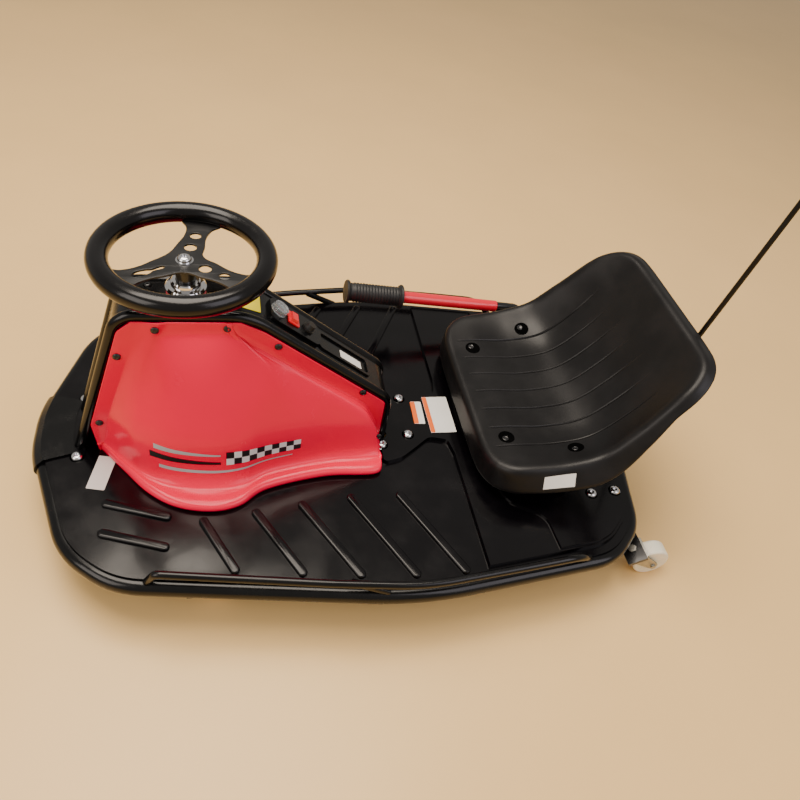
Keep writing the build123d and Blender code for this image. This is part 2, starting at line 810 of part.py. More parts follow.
# Seat: one moulded shell, lofted through its stations
def seat_section(x, z, slope, half, rise):
    """Closed section of the shell across one station, its skirt turned down."""
    flat = 0.62 * half
    wide = half + seat_lip
    low = rise - seat_skirt
    turn = math.radians(slope)
    plane = Plane(origin=(x, 0, z), x_dir=(0, 1, 0),
                  z_dir=(math.cos(turn), 0, -math.sin(turn)))
    with BuildSketch(plane) as sketch:
        with BuildLine():
            Line((0, 0), (flat, 0))
            TangentArc((flat, 0), (half, rise), tangent=(1, 0))
            ThreePointArc((half, rise), (half + seat_lip * 0.7, rise + 1.0), (wide, rise - 6))
            Line((wide, rise - 6), (wide + 2, low))
            Line((wide + 2, low), (wide + 2 - seat_t, low))
            Line((wide + 2 - seat_t, low), (wide - seat_t, rise - 9))
            Line((wide - seat_t, rise - 9), (half, rise - seat_t))
            TangentArc((flat, -seat_t), (half, rise - seat_t), tangent=(1, 0))
            Line((flat, -seat_t), (0, -seat_t))
            mirror(about=Plane.YZ)
        make_face()
    return sketch.sketch


with BuildPart() as seat_blank:
    for row in seat_stations:
        add(seat_section(*row))
    loft()

with BuildPart() as seat_shell:
    add(seat_blank.part)
    for x, y in seat_holes:
        with BuildSketch(Plane.XY):
            with Locations((x, y), (x, -y)):
                Circle(seat_hole_r)
        extrude(amount=300, mode=Mode.SUBTRACT)
seat_shell.part.label = "seat_shell"

# Seat brackets: two channels across the deck, with a spacer under each seat bolt
def seat_bracket(x, y):
    """One channel with its spacers shaped to the underside of the seat."""
    half = y + spacer_r + 1.0
    foot_z = deck_top + seat_gap
    with BuildPart() as channel:
        with BuildSketch(side_plane(half)):
            with Locations((x, foot_z)):
                Rectangle(bracket_w + 2 * bracket_foot, bracket_t,
                          align=(Align.CENTER, Align.MIN))
                Rectangle(bracket_w, bracket_top - foot_z, align=(Align.CENTER, Align.MIN))
                Rectangle(bracket_w - 2 * bracket_t, bracket_top - foot_z - bracket_t,
                          align=(Align.CENTER, Align.MIN), mode=Mode.SUBTRACT)
        extrude(amount=2 * half)
        with BuildSketch(Plane.XY.offset(bracket_top - bracket_t)):
            with Locations((x, y), (x, -y)):
                Circle(spacer_r)
        extrude(amount=80)
        add(seat_blank.part.moved(Location((0, 0, -seat_gap))), mode=Mode.SUBTRACT)
        with BuildSketch(Plane.XY.offset(bracket_top - bracket_t)):
            with Locations((x, y), (x, -y)):
                Circle(seat_bolt_r)
        extrude(amount=80, mode=Mode.SUBTRACT)
    return channel.part.solids().sort_by(SortBy.VOLUME)[-1]


with BuildPart() as seat_brackets:
    for x, y in seat_holes:
        add(seat_bracket(x, y))
seat_brackets.part.label = "seat_brackets"

# Caster shaft across the back, in two bearing blocks under the chassis tubes
with BuildPart() as caster_shaft:
    with BuildSketch(side_plane(shaft_half)):
        with Locations((shaft_x, shaft_z)):
            Circle(shaft_r)
    extrude(amount=2 * shaft_half)
caster_shaft.part.label = "caster_shaft"

with BuildPart() as shaft_bearings:
    for y in (chassis_y, -chassis_y):
        with BuildSketch(side_plane(y + bearing_w / 2)):
            with Locations((shaft_x, shaft_z)):
                Circle(shaft_r + bearing_wall)
                Rectangle(2 * (shaft_r + bearing_wall), chassis_z - shaft_z,
                          align=(Align.CENTER, Align.MIN))
            with Locations((shaft_x, shaft_z)):
                Circle(shaft_r + run_gap, mode=Mode.SUBTRACT)
        extrude(amount=bearing_w)
    with BuildSketch(Plane(origin=(shaft_x, 0, chassis_z), x_dir=(0, 1, 0),
                           z_dir=(1, 0, 0))):
        with Locations((chassis_y, 0), (-chassis_y, 0)):
            Circle(chassis_tube_r + seat_gap)
    extrude(amount=60, both=True, mode=Mode.SUBTRACT)
shaft_bearings.part.label = "shaft_bearings"

# Drift bar: a collar and bent arm on the shaft, the red tube and its grip
bar_turn = math.radians(bar_tilt)
bar_dir = Vector(math.cos(bar_turn), 0, math.sin(bar_turn))
bar_start = Vector(bar_rear_x, bar_y, bar_rear_z)
with BuildPart() as drift_arm:
    with BuildSketch(side_plane(arm_y + 14)):
        with Locations((shaft_x, shaft_z)):
            Circle(shaft_r + 6)
            Circle(shaft_r + seat_gap, mode=Mode.SUBTRACT)
    extrude(amount=28)
    with BuildLine() as arm_line:
        FilletPolyline((shaft_x, arm_y, shaft_z + shaft_r + 3), (shaft_x, arm_y, 112),
                       bar_start - bar_dir * 52, bar_start - bar_dir * seat_gap,
                       radius=[24, 24])
    arm_path = arm_line.line
    with BuildSketch(Plane(arm_path @ 0, z_dir=arm_path % 0)):
        Circle(arm_r)
    sweep(path=arm_path)
    with BuildSketch(side_plane(arm_y + 14)):
        with Locations((shaft_x, shaft_z)):
            Circle(shaft_r + seat_gap)
    extrude(amount=28, mode=Mode.SUBTRACT)
drift_arm.part.label = "drift_arm"

with BuildPart() as drift_tube:
    with BuildSketch(Plane(bar_start, z_dir=bar_dir)):
        Circle(bar_r)
    extrude(amount=bar_len + grip_len - 8)
drift_tube.part.label = "drift_tube"

grip_flange_r = bar_grip_r + 5
with BuildPart() as drift_grip:
    grip_start = bar_start + bar_dir * bar_len
    grip_end = grip_start + bar_dir * grip_len
    with BuildSketch(Plane(grip_start, z_dir=bar_dir)):
        Circle(bar_grip_r)
    extrude(amount=grip_len)
    for place, length in ((grip_start, 5), (grip_end - bar_dir * 6, 6)):
        with BuildSketch(Plane(place, z_dir=bar_dir)):
            Circle(grip_flange_r)
        extrude(amount=length)
    with BuildSketch(Plane(grip_start, z_dir=bar_dir)):
        Circle(bar_r + seat_gap)
    extrude(amount=grip_len - 8 + seat_gap, mode=Mode.SUBTRACT)
drift_grip.part.label = "drift_grip"


# Casters: each has a plate that holds it, a fork with its stem and axle, and a wheel
def caster_frame(tilt):
    """Swivel axis, upward, and the trailing direction of a caster tilted forward."""
    turn = math.radians(tilt)
    return (Vector(math.sin(turn), 0, math.cos(turn)),
            Vector(-math.cos(turn), 0, math.sin(turn)))


def caster_fork(pivot, tilt, drop, trail, half_w, plate_t):
    """Fork of a caster hung from a plate whose underside is at the pivot."""
    up, back = caster_frame(tilt)
    axle = pivot - up * drop + back * trail
    inner = half_w + caster_side_gap
    outer = inner + caster_arm_t
    crown = pivot - up * swivel_gap
    crown_mid = crown - up * (caster_crown_t / 2) + back * 4
    with BuildPart() as fork_part:
        with BuildSketch(Plane(crown + back * 4, x_dir=back, z_dir=-up)):
            RectangleRounded(32, 2 * outer, 4)
        extrude(amount=caster_crown_t)
        for y in (pivot.Y + outer, pivot.Y - inner):
            with BuildSketch(side_plane(y)):
                with Locations((axle.X, axle.Z)):
                    Circle(caster_axle_r + 4)
                with Locations(Location((crown_mid.X, crown_mid.Z, 0), (0, 0, -tilt))):
                    Rectangle(24, caster_crown_t)
                make_hull()
            extrude(amount=caster_arm_t)
        with BuildSketch(side_plane(pivot.Y + outer + 3)):
            with Locations((axle.X, axle.Z)):
                Circle(caster_axle_r)
        extrude(amount=2 * (outer + 3))
        with BuildSketch(Plane(crown, z_dir=up)):
            Circle(caster_stem_r)
        extrude(amount=plate_t + 2 * swivel_gap + nut_t)
        with BuildSketch(Plane(pivot + up * (plate_t + swivel_gap), z_dir=up)):
            RegularPolygon(nut_r, 6)
        extrude(amount=nut_t)
    return fork_part.part


def caster_wheel(pivot, tilt, drop, trail, radius, half_w):
    """Wheel of a caster, bored for the axle."""
    up, back = caster_frame(tilt)
    axle = pivot - up * drop + back * trail
    with BuildPart() as wheel:
        with BuildSketch(side_plane(axle.Y + half_w)):
            with Locations((axle.X, axle.Z)):
                Circle(radius)
        extrude(amount=2 * half_w)
        fillet(wheel.edges(), 3.5)
        with BuildSketch(side_plane(axle.Y + half_w)):
            with Locations((axle.X, axle.Z)):
                Circle(caster_axle_r + run_gap)
        extrude(amount=2 * half_w, mode=Mode.SUBTRACT)
    return wheel.part


rear_up, rear_back = caster_frame(caster_tilt)
rear_axle = Vector(caster_x, 0, caster_r)
rear_pivot = rear_axle + rear_up * caster_drop - rear_back * caster_trail


def caster_mount(side):
    """Side plate on the shaft's end, and the tilted plate that holds a rear caster."""
    pivot = rear_pivot + Vector(0, side * caster_y, 0)
    start = side * (shaft_half + seat_gap)
    width = 2 * (caster_y - shaft_half - seat_gap)
    plate_mid = pivot + rear_up * (mount_t / 2)
    with BuildPart() as mount:
        with BuildSketch(side_plane(start)):
            with Locations((shaft_x, shaft_z)):
                Circle(mount_eye_r)
            with Locations(Location((plate_mid.X, plate_mid.Z, 0), (0, 0, -caster_tilt))):
                Rectangle(2 * mount_half, mount_t)
            make_hull()
        extrude(amount=-side * mount_t)
        with BuildSketch(Plane(pivot, x_dir=rear_back, z_dir=rear_up)):
            Rectangle(2 * mount_half, width)
        extrude(amount=mount_t)
        with BuildSketch(Plane(pivot, z_dir=rear_up)):
            Circle(caster_stem_r + run_gap)
        extrude(amount=mount_t, mode=Mode.SUBTRACT)
    return mount.part


front_plate_z = frame_z - frame_tube_r - seat_gap - front_plate_t
front_drop = front_plate_z - front_caster_lift - front_caster_r
with BuildPart() as front_caster_mounts:
    for side in (1, -1):
        outer_y = frame_y(front_caster_x) + 4.0
        with BuildSketch(Plane.XY.offset(front_plate_z)):
            with Locations((front_caster_x, side * (outer_y + front_plate_y) / 2)):
                Rectangle(2 * front_plate_half, outer_y - front_plate_y)
            with Locations((front_caster_x, side * front_caster_y)):
                Circle(caster_stem_r + run_gap, mode=Mode.SUBTRACT)
        extrude(amount=front_plate_t)
        with BuildSketch(Plane.XY.offset(front_plate_z)):
            with Locations((front_caster_x, side * (front_plate_y + front_plate_t / 2))):
                Rectangle(2 * front_plate_half, front_plate_t)
        extrude(amount=pan_z - seat_gap - front_plate_z)
front_caster_mounts.part.label = "front_caster_mounts"

casters = []
for side, hand in ((1, "left"), (-1, "right")):
    rear = rear_pivot + Vector(0, side * caster_y, 0)
    front = Vector(front_caster_x, side * front_caster_y, front_plate_z)
    pieces = {
        f"caster_mount_{hand}": caster_mount(side),
        f"caster_fork_{hand}": caster_fork(rear, caster_tilt, caster_drop, caster_trail,
                                           caster_half_w, mount_t),
        f"caster_wheel_{hand}": caster_wheel(rear, caster_tilt, caster_drop, caster_trail,
                                             caster_r, caster_half_w),
        f"front_caster_fork_{hand}": caster_fork(front, 0, front_drop, front_caster_trail,
                                                 front_caster_half_w, front_plate_t),
        f"front_caster_wheel_{hand}": caster_wheel(front, 0, front_drop, front_caster_trail,
                                                   front_caster_r, front_caster_half_w),
    }
    for name, piece in pieces.items():
        piece.label = name
        casters.append(piece)

# Accelerator: a tilted pad on a wedge bracket, bolted to the right of the floor
with BuildPart() as accelerator_pedal:
    pad = math.radians(pedal_tilt)
    pad_rear = pedal_x - pedal_len / 2
    pad_low = floor_top + seat_gap + pedal_t
    with BuildSketch(side_plane(pedal_y + pedal_w / 2)):
        with BuildLine():
            Polyline((pad_rear, pad_low),
                     (pad_rear + pedal_len * math.cos(pad), pad_low + pedal_len * math.sin(pad)),
                     (pad_rear + pedal_len * math.cos(pad) + pedal_t * math.sin(pad),
                      pad_low + pedal_len * math.sin(pad) - pedal_t * math.cos(pad)),
                     (pad_rear + pedal_t * math.sin(pad), pad_low - pedal_t * math.cos(pad)),
                     (pad_rear, pad_low))
        make_face()
    extrude(amount=pedal_w)
    with BuildSketch(Plane.XY.offset(floor_top + seat_gap)):
        with Locations((pedal_x, pedal_y)):
            Rectangle(pedal_len, pedal_w - 8)
    extrude(amount=pedal_t)
    for y in (pedal_y + strut_y + pedal_t, pedal_y - strut_y):
        with BuildSketch(side_plane(y)):
            with BuildLine():
                Polyline((pad_rear + strut_foot, pad_low), (pad_rear + strut_head + 6, pad_low),
                         (pad_rear + strut_head, pad_low + strut_head * math.tan(pad) - 2),
                         (pad_rear + strut_foot, pad_low + strut_foot * math.tan(pad) - 2),
                         (pad_rear + strut_foot, pad_low))
            make_face()
        extrude(amount=pedal_t)
accelerator_pedal.part.label = "accelerator_pedal"

# Cap over the middle of the front tube, swept along its two bends
cap_t = 3.0
cap_back = 44.0
cap_z = floor_top + seat_gap - frame_z
cap_in = frame_tube_r + seat_gap
with BuildLine() as front_line:
    FilletPolyline((frame_corners[1][0], -frame_corners[1][1], frame_z),
                   (frame_corners[0][0], -frame_corners[0][1], frame_z),
                   (frame_corners[0][0], frame_corners[0][1], frame_z),
                   (frame_corners[1][0], frame_corners[1][1], frame_z),
                   radius=frame_corners[0][2])
cap_path = Wire(front_line.edges().sort_by(Axis.Y)[1:4])
with BuildPart() as bumper_cap:
    with BuildSketch(Plane(cap_path @ 0, x_dir=Vector(0, 0, 1).cross(cap_path % 0),
                           z_dir=cap_path % 0)):
        Circle(cap_in + cap_t)
        with Locations((0, cap_z + cap_t / 2)):
            Circle(cap_t / 2)
        make_hull()
        with Locations((0, cap_z)):
            Rectangle(cap_back, cap_t, align=(Align.MIN, Align.MIN))
        Circle(cap_in, mode=Mode.SUBTRACT)
        with Locations((pan_inset - 1.0, cap_z)):
            Rectangle(2 * cap_back, 60, align=(Align.MIN, Align.MAX), mode=Mode.SUBTRACT)
    sweep(path=cap_path)
bumper_cap.part.label = "bumper_cap"

# Flag: socket on the rear tube, leaning pole, and the pennant near its top
lean = math.radians(pole_lean)
pole_dir = Vector(-math.sin(lean), 0, math.cos(lean))
rear_bow = 0.6
pole_x = frame_corners[-1][0] + rear_bow - frame_tube_r - seat_gap - socket_r
pole_foot = Vector(pole_x, pole_y, frame_z) - pole_dir * (frame_z - pole_bottom)
pole_run = (pole_top - pole_bottom) / math.cos(lean)
with BuildPart() as flag_socket:
    with BuildSketch(Plane(pole_foot - pole_dir * socket_low, z_dir=pole_dir)):
        Circle(socket_r)
    extrude(amount=socket_len)
    with BuildSketch(Plane(pole_foot, z_dir=pole_dir)):
        Circle(pole_r + seat_gap)
    extrude(amount=socket_len, mode=Mode.SUBTRACT)
    add(frame_clearance.part, mode=Mode.SUBTRACT)
flag_socket.part.label = "flag_socket"

with BuildPart() as flag_pole:
    with BuildSketch(Plane(pole_foot + pole_dir * seat_gap, z_dir=pole_dir)):
        Circle(pole_r)
    extrude(amount=pole_run - seat_gap)
    with BuildSketch(Plane(pole_foot + pole_dir * pole_run, z_dir=pole_dir)):
        Circle(ferrule_r)
    extrude(amount=-ferrule_len)
flag_pole.part.label = "flag_pole"

# The pennant's tip and the front cap lie equally far from the origin
flag_tip_x = -(frame_corners[0][0] + cap_in + cap_t)
with BuildPart() as flag_pennant:
    top = pole_foot + pole_dir * (pole_run - ferrule_len - 8)
    low = top - pole_dir * flag_hoist
    with BuildSketch(side_plane(pole_y + flag_t / 2)):
        with BuildLine():
            Polyline((top.X, top.Z), (low.X, low.Z),
                     (flag_tip_x, low.Z + flag_hoist / 2 - flag_droop),
                     (top.X, top.Z))
        make_face()
    extrude(amount=flag_t)
    with BuildSketch(Plane(low, z_dir=pole_dir)):
        Circle(pole_r + seat_gap + 1.2)
    extrude(amount=flag_hoist)
    with BuildSketch(Plane(low - pole_dir * 5, z_dir=pole_dir)):
        Circle(pole_r + seat_gap)
    extrude(amount=flag_hoist + 10, mode=Mode.SUBTRACT)
flag_pennant.part.label = "flag_pennant"

for piece in (perimeter_frame, chassis_rails, floor_pan, side_rail_left, side_rail_right,
              tower_rails, spine_panel, power_switch, charger_cap, breaker_boot, head_tube,
              headset_ring, headset_cup, cover_left, cover_right, fork, drive_hub, drive_tyre,
              drive_motor, chain_case, battery_block, steering_spokes, steering_rim, hub_bolt,
              seat_shell, seat_brackets, caster_shaft, shaft_bearings, drift_arm, drift_tube,
              drift_grip, front_caster_mounts, accelerator_pedal, bumper_cap, flag_socket,
              flag_pole, flag_pennant):
    export_step(piece.part, f"parts/{piece.part.label}.step")

for piece in casters:
    export_step(piece, f"parts/{piece.label}.step")
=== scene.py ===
import json
import math

import bmesh
import bpy
from bpy.props import FloatProperty, FloatVectorProperty, IntProperty, PointerProperty
from mathutils import Matrix, Vector
from mathutils.bvhtree import BVHTree


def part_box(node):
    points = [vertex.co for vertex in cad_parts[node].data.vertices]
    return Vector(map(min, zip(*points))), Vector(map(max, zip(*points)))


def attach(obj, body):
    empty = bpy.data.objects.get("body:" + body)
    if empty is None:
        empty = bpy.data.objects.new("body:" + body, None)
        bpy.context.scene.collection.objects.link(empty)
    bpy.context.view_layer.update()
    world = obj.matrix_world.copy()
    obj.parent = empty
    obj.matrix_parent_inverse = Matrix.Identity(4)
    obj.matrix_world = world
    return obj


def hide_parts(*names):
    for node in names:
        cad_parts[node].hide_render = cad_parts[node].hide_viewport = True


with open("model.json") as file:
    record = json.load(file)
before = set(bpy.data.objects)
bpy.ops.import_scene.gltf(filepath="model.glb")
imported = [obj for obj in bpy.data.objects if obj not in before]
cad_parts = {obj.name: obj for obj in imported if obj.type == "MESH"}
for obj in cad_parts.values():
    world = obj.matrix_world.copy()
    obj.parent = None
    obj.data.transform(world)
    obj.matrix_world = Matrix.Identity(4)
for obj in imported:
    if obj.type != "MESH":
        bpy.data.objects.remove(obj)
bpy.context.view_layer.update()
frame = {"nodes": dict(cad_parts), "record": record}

bl_info = {
    "name": "Drift kart finish",
    "version": (1, 0, 0),
    "blender": (4, 5, 0),
    "location": "View3D > Sidebar > Kart",
    "description": "Gives a packed drift kart its surfaces, small fasteners, labels and stage",
    "category": "Object",
}

MM = 0.001
nodes = frame["nodes"]
# Sign of Y on each hand of the driver
hands = ((1, "left"), (-1, "right"))


# Colours and nodes

def colour(hex_value):
    """Linear colour of an sRGB hex value such as e3163f."""
    parts = [int(hex_value[n:n + 2], 16) / 255 for n in (0, 2, 4)]
    linear = [c / 12.92 if c <= 0.04045 else ((c + 0.055) / 1.055) ** 2.4 for c in parts]
    return (*linear, 1.0)


def add_node(tree, kind, links=(), **settings):
    """Add a node, set its properties and inputs, and link its inputs.

    A setting whose name is one of the node's properties sets that property. Any other sets
    the input of that name, with underscores for spaces. Each link is (input, output socket).
    """
    node = tree.nodes.new(kind)
    for name, value in settings.items():
        if hasattr(node, name):
            setattr(node, name, value)
        else:
            node.inputs[name.replace("_", " ")].default_value = value
    for name, socket in links:
        tree.links.new(node.inputs[name], socket)
    return node


def new_material(name, base, rough, **settings):
    """Material with a Principled shader; returns it, its tree and the shader."""
    material = bpy.data.materials.new(name)
    material.use_nodes = True
    tree = material.node_tree
    tree.nodes.clear()
    shader = add_node(tree, "ShaderNodeBsdfPrincipled", Base_Color=base, Roughness=rough,
                      **settings)
    add_node(tree, "ShaderNodeOutputMaterial", [("Surface", shader.outputs[0])])
    return material, tree, shader


def object_place(tree):
    """Object coordinates."""
    return add_node(tree, "ShaderNodeTexCoord").outputs["Object"]


def feed(shader, name, socket):
    """Link a socket to the shader's input of that name."""
    shader.id_data.links.new(shader.inputs[name], socket)


def spread(socket, low, high, start, end):
    """Map a value from start..end to low..high."""
    return add_node(socket.id_data, "ShaderNodeMapRange", [("Value", socket)],
                    From_Min=start, From_Max=end, To_Min=low, To_Max=high).outputs[0]


def add_bump(shader, socket, height_mm):
    """Bump of a real height from a 0 to 1 value."""
    feed(shader, "Normal", add_node(shader.id_data, "ShaderNodeBump", [("Height", socket)],
                                    Distance=height_mm * MM).outputs[0])


def noise_of(tree, size_mm, detail, roughness=0.5):
    """Noise whose blotches are about a real size."""
    return add_node(tree, "ShaderNodeTexNoise", [("Vector", object_place(tree))],
                    Scale=1.0 / (size_mm * MM), Detail=detail, Roughness=roughness).outputs[0]


def shade(tone, factor, lift=0.0):
    """Linear colour made darker or paler."""
    return (*(c * factor + lift for c in tone[:3]), 1.0)


def tint(shader, factor, tone):
    """Let the base colour go to a tone by a factor socket."""
    mix = add_node(shader.id_data, "ShaderNodeMix", [("Factor", factor)], data_type="RGBA")
    mix.inputs[6].default_value = shader.inputs["Base Color"].default_value
    mix.inputs[7].default_value = tone
    feed(shader, "Base Color", mix.outputs[2])


# Materials, each named for the real one and how its surface was made

def gloss_powder_coat(name, hex_value, rough, peel_mm=2.2, peel_height=0.02, specular=0.5):
    """Powder coat baked on steel: deep gloss with a soft orange peel and faint dust."""
    base = colour(hex_value)
    material, tree, shader = new_material(name, base, rough, IOR=1.5,
                                          Specular_IOR_Level=specular,
                                          Coat_Weight=specular / 2, Coat_Roughness=0.08)
    add_bump(shader, noise_of(tree, peel_mm, 2.0), peel_height)
    dust = noise_of(tree, 90.0, 6.0, 0.62)
    feed(shader, "Roughness", spread(dust, rough * 0.85, rough * 1.7, 0.42, 0.72))
    tint(shader, spread(dust, 0.0, 1.0, 0.5, 0.8), shade(base, 1.5, 0.001))
    return material


def gloss_moulding(name, hex_value, rough, coat=0.35, specular=0.5):
    """Injection-moulded gloss plastic: even colour, long soft flow ripple, fine scuffs."""
    material, tree, shader = new_material(name, colour(hex_value), rough, IOR=1.49,
                                          Specular_IOR_Level=specular, Coat_Weight=coat,
                                          Coat_Roughness=0.1)
    ripple, fine = noise_of(tree, 38.0, 1.0), noise_of(tree, 0.9, 2.0)
    both = add_node(tree, "ShaderNodeMath", [(0, ripple), (1, fine)], operation="ADD").outputs[0]
    add_bump(shader, both, 0.03)
    scuff = noise_of(tree, 55.0, 8.0, 0.68)
    feed(shader, "Roughness", spread(scuff, rough, rough * 2.0, 0.5, 0.78))
    return material


def grained_moulding(name, hex_value, rough, grain_mm=0.9, specular=0.5):
    """Polypropylene from a spark-eroded tool: satin, with a leather-fine pebble grain."""
    base = colour(hex_value)
    material, tree, shader = new_material(name, base, rough, IOR=1.49,
                                          Specular_IOR_Level=specular)
    # The real grain is near 0.3 mm; it is drawn coarser so that it shows
    cells = add_node(tree, "ShaderNodeTexVoronoi", [("Vector", object_place(tree))],
                     Scale=1.0 / (grain_mm * MM), feature="SMOOTH_F1").outputs[0]
    add_bump(shader, cells, 0.05)
    wear = noise_of(tree, 70.0, 5.0, 0.6)
    feed(shader, "Roughness", spread(wear, rough * 0.8, rough * 1.15, 0.35, 0.7))
    tint(shader, spread(wear, 0.0, 1.0, 0.45, 0.75), shade(base, 1.35, 0.002))
    return material


def creased_moulding(name, hex_value, rough):
    """Blow-moulded seat plastic: satin pebble grain with moulded creases run front to back."""
    material = grained_moulding(name, hex_value, rough, 1.1, 0.34)
    tree = material.node_tree
    shader = next(n for n in tree.nodes if n.bl_idname == "ShaderNodeBsdfPrincipled")
    grain = shader.inputs["Normal"].links[0].from_node
    split = add_node(tree, "ShaderNodeSeparateXYZ", [("Vector", object_place(tree))])
    # Creases lie 42 mm apart, 2.2 mm wide to each side of their middle. They fade part of
    # the way up the back, behind the front lip and towards the sides
    rows = add_node(tree, "ShaderNodeMath", [(0, split.outputs["Y"])], operation="PINGPONG")
    rows.inputs[1].default_value = 21.0 * MM
    crease = spread(rows.outputs[0], 1.0, 0.0, 0.0, 2.2 * MM)
    aside = add_node(tree, "ShaderNodeMath", [(0, split.outputs["Y"])], operation="ABSOLUTE")
    for socket, whole, gone in ((split.outputs["Z"], 230.0, 290.0),
                                (split.outputs["X"], -92.0, -80.0),
                                (aside.outputs[0], 132.0, 142.0)):
        fade = spread(socket, 1.0, 0.0, whole * MM, gone * MM)
        crease = add_node(tree, "ShaderNodeMath", [(0, crease), (1, fade)],
                          operation="MULTIPLY").outputs[0]
    bump = add_node(tree, "ShaderNodeBump", [("Height", crease), ("Normal", grain.outputs[0])],
                    Strength=0.9, Distance=1.6 * MM)
    bump.invert = True
    feed(shader, "Normal", bump.outputs[0])
    return material


def chrome_plate(name):
    """Bright chrome on steel: a mirror with the slightest haze."""
    material, tree, shader = new_material(name, colour("dcdcde"), 0.07, Metallic=1.0)
    feed(shader, "Roughness", spread(noise_of(tree, 14.0, 4.0), 0.05, 0.16, 0.4, 0.75))
    return material


def zinc_plate(name):
    """Zinc plating on pressed steel: grey, slightly mottled and half dull."""
    material, tree, shader = new_material(name, colour("b4b2aa"), 0.36, Metallic=1.0)
    mottle = noise_of(tree, 7.0, 5.0, 0.6)
    feed(shader, "Roughness", spread(mottle, 0.27, 0.5, 0.35, 0.7))
    tint(shader, mottle, colour("8d8b83"))
    add_bump(shader, noise_of(tree, 1.2, 2.0), 0.01)
    return material


def moulded_rubber(name, hex_value, rough):
    """Moulded rubber: dull black with a faint bloom and a fine matt tooth."""
    material, tree, shader = new_material(name, colour(hex_value), rough, IOR=1.52)
    bloom = noise_of(tree, 24.0, 5.0, 0.6)
    tint(shader, spread(bloom, 0.0, 0.7, 0.45, 0.75), colour("2b2a29"))
    add_bump(shader, noise_of(tree, 0.7, 3.0), 0.04)
    return material


def cast_urethane(name):
    """Cast polyurethane: milky off-white, waxy, with scuffed grey where it rolls."""
    material, tree, shader = new_material(name, colour("ece6d2"), 0.38, IOR=1.5,
                                          Subsurface_Weight=0.12, Subsurface_Scale=0.004)
    dirt = noise_of(tree, 9.0, 6.0, 0.65)
    tint(shader, spread(dirt, 0.0, 0.5, 0.55, 0.8), colour("b9b09a"))
    add_bump(shader, dirt, 0.02)
    return material


def vinyl_label(name, hex_value):
    """Printed vinyl label: smooth satin film, slightly uneven where it is stuck down."""
    base = colour(hex_value)
    material, tree, shader = new_material(name, base, 0.34, IOR=1.46)
    add_bump(shader, noise_of(tree, 12.0, 2.0), 0.06)
    tint(shader, noise_of(tree, 20.0, 3.0), shade(base, 0.9))
    return material


def chequered_vinyl(name):
    """Printed vinyl with black and silver squares, two rows to the band."""
    material, tree, shader = new_material(name, colour("17161a"), 0.3, IOR=1.46)
    across = add_node(tree, "ShaderNodeUVMap").outputs[0]
    squares = add_node(tree, "ShaderNodeMapping", [("Vector", across)],
                       Scale=(10.0, 2.0, 1.0)).outputs[0]
    checks = add_node(tree, "ShaderNodeTexChecker", [("Vector", squares)], Scale=1.0).outputs[1]
    tint(shader, checks, colour("d9dade"))
    add_bump(shader, noise_of(tree, 10.0, 2.0), 0.04)
    return material


def clear_moulding(name):
    """Clear moulded PVC cover: glassy, slightly grey, with a soft skin."""
    material, tree, shader = new_material(name, colour("cfd3d6"), 0.12, IOR=1.45,
                                          Transmission_Weight=0.75)
    add_bump(shader, noise_of(tree, 3.0, 2.0), 0.03)
    return material


def woven_nylon(name, hex_value):
    """Plain-woven flag nylon: crossed threads, thin and faintly shiny, with painted shade in the
    hollows between the threads.
    """
    base = colour(hex_value)
    # Base colour is the dye darkened to 0.72: painted shade for the hollows of the weave
    material, tree, shader = new_material(name, shade(base, 0.72), 0.55, IOR=1.5,
                                          Sheen_Weight=0.3)
    # Threads are about 0.3 mm apart. A wave texture's bands lie 0.314 of its unit apart, so
    # this unit draws them 2.4 mm apart, where they show
    unit = 7.5 * MM
    warp, weft = (add_node(tree, "ShaderNodeTexWave", [("Vector", object_place(tree))],
                           Scale=1.0 / unit, bands_direction=way).outputs[1] for way in "XZ")
    weave_and_hollow_shade = add_node(tree, "ShaderNodeMath", [(0, warp), (1, weft)],
                     operation="MULTIPLY").outputs[0]
    add_bump(shader, weave_and_hollow_shade, 0.12)
    # Painted shade: the full dye shows only on the threads' crossings, darker in the hollows
    tint(shader, weave_and_hollow_shade, base)
    return material


class KartSettings(bpy.types.PropertyGroup):
    """Sizes and colours that a user would change."""

    floor_pale: FloatVectorProperty(
        name="Floor colour", description="Paler tone of the studio floor",
        subtype="COLOR", size=4, min=0.0, max=1.0, default=colour("f7cd88"))
    round_steps: IntProperty(
        name="Round steps", description="Steps round a bolt head or rib", default=32, min=12)
    bolt_radius: FloatProperty(
        name="Bolt head", description="Radius of the button-head bolts",
        default=8.5 * MM, subtype="DISTANCE", unit="LENGTH")
    rivet_radius: FloatProperty(
        name="Rivet head", description="Radius of the cover's push rivets",
        default=5.5 * MM, subtype="DISTANCE", unit="LENGTH")


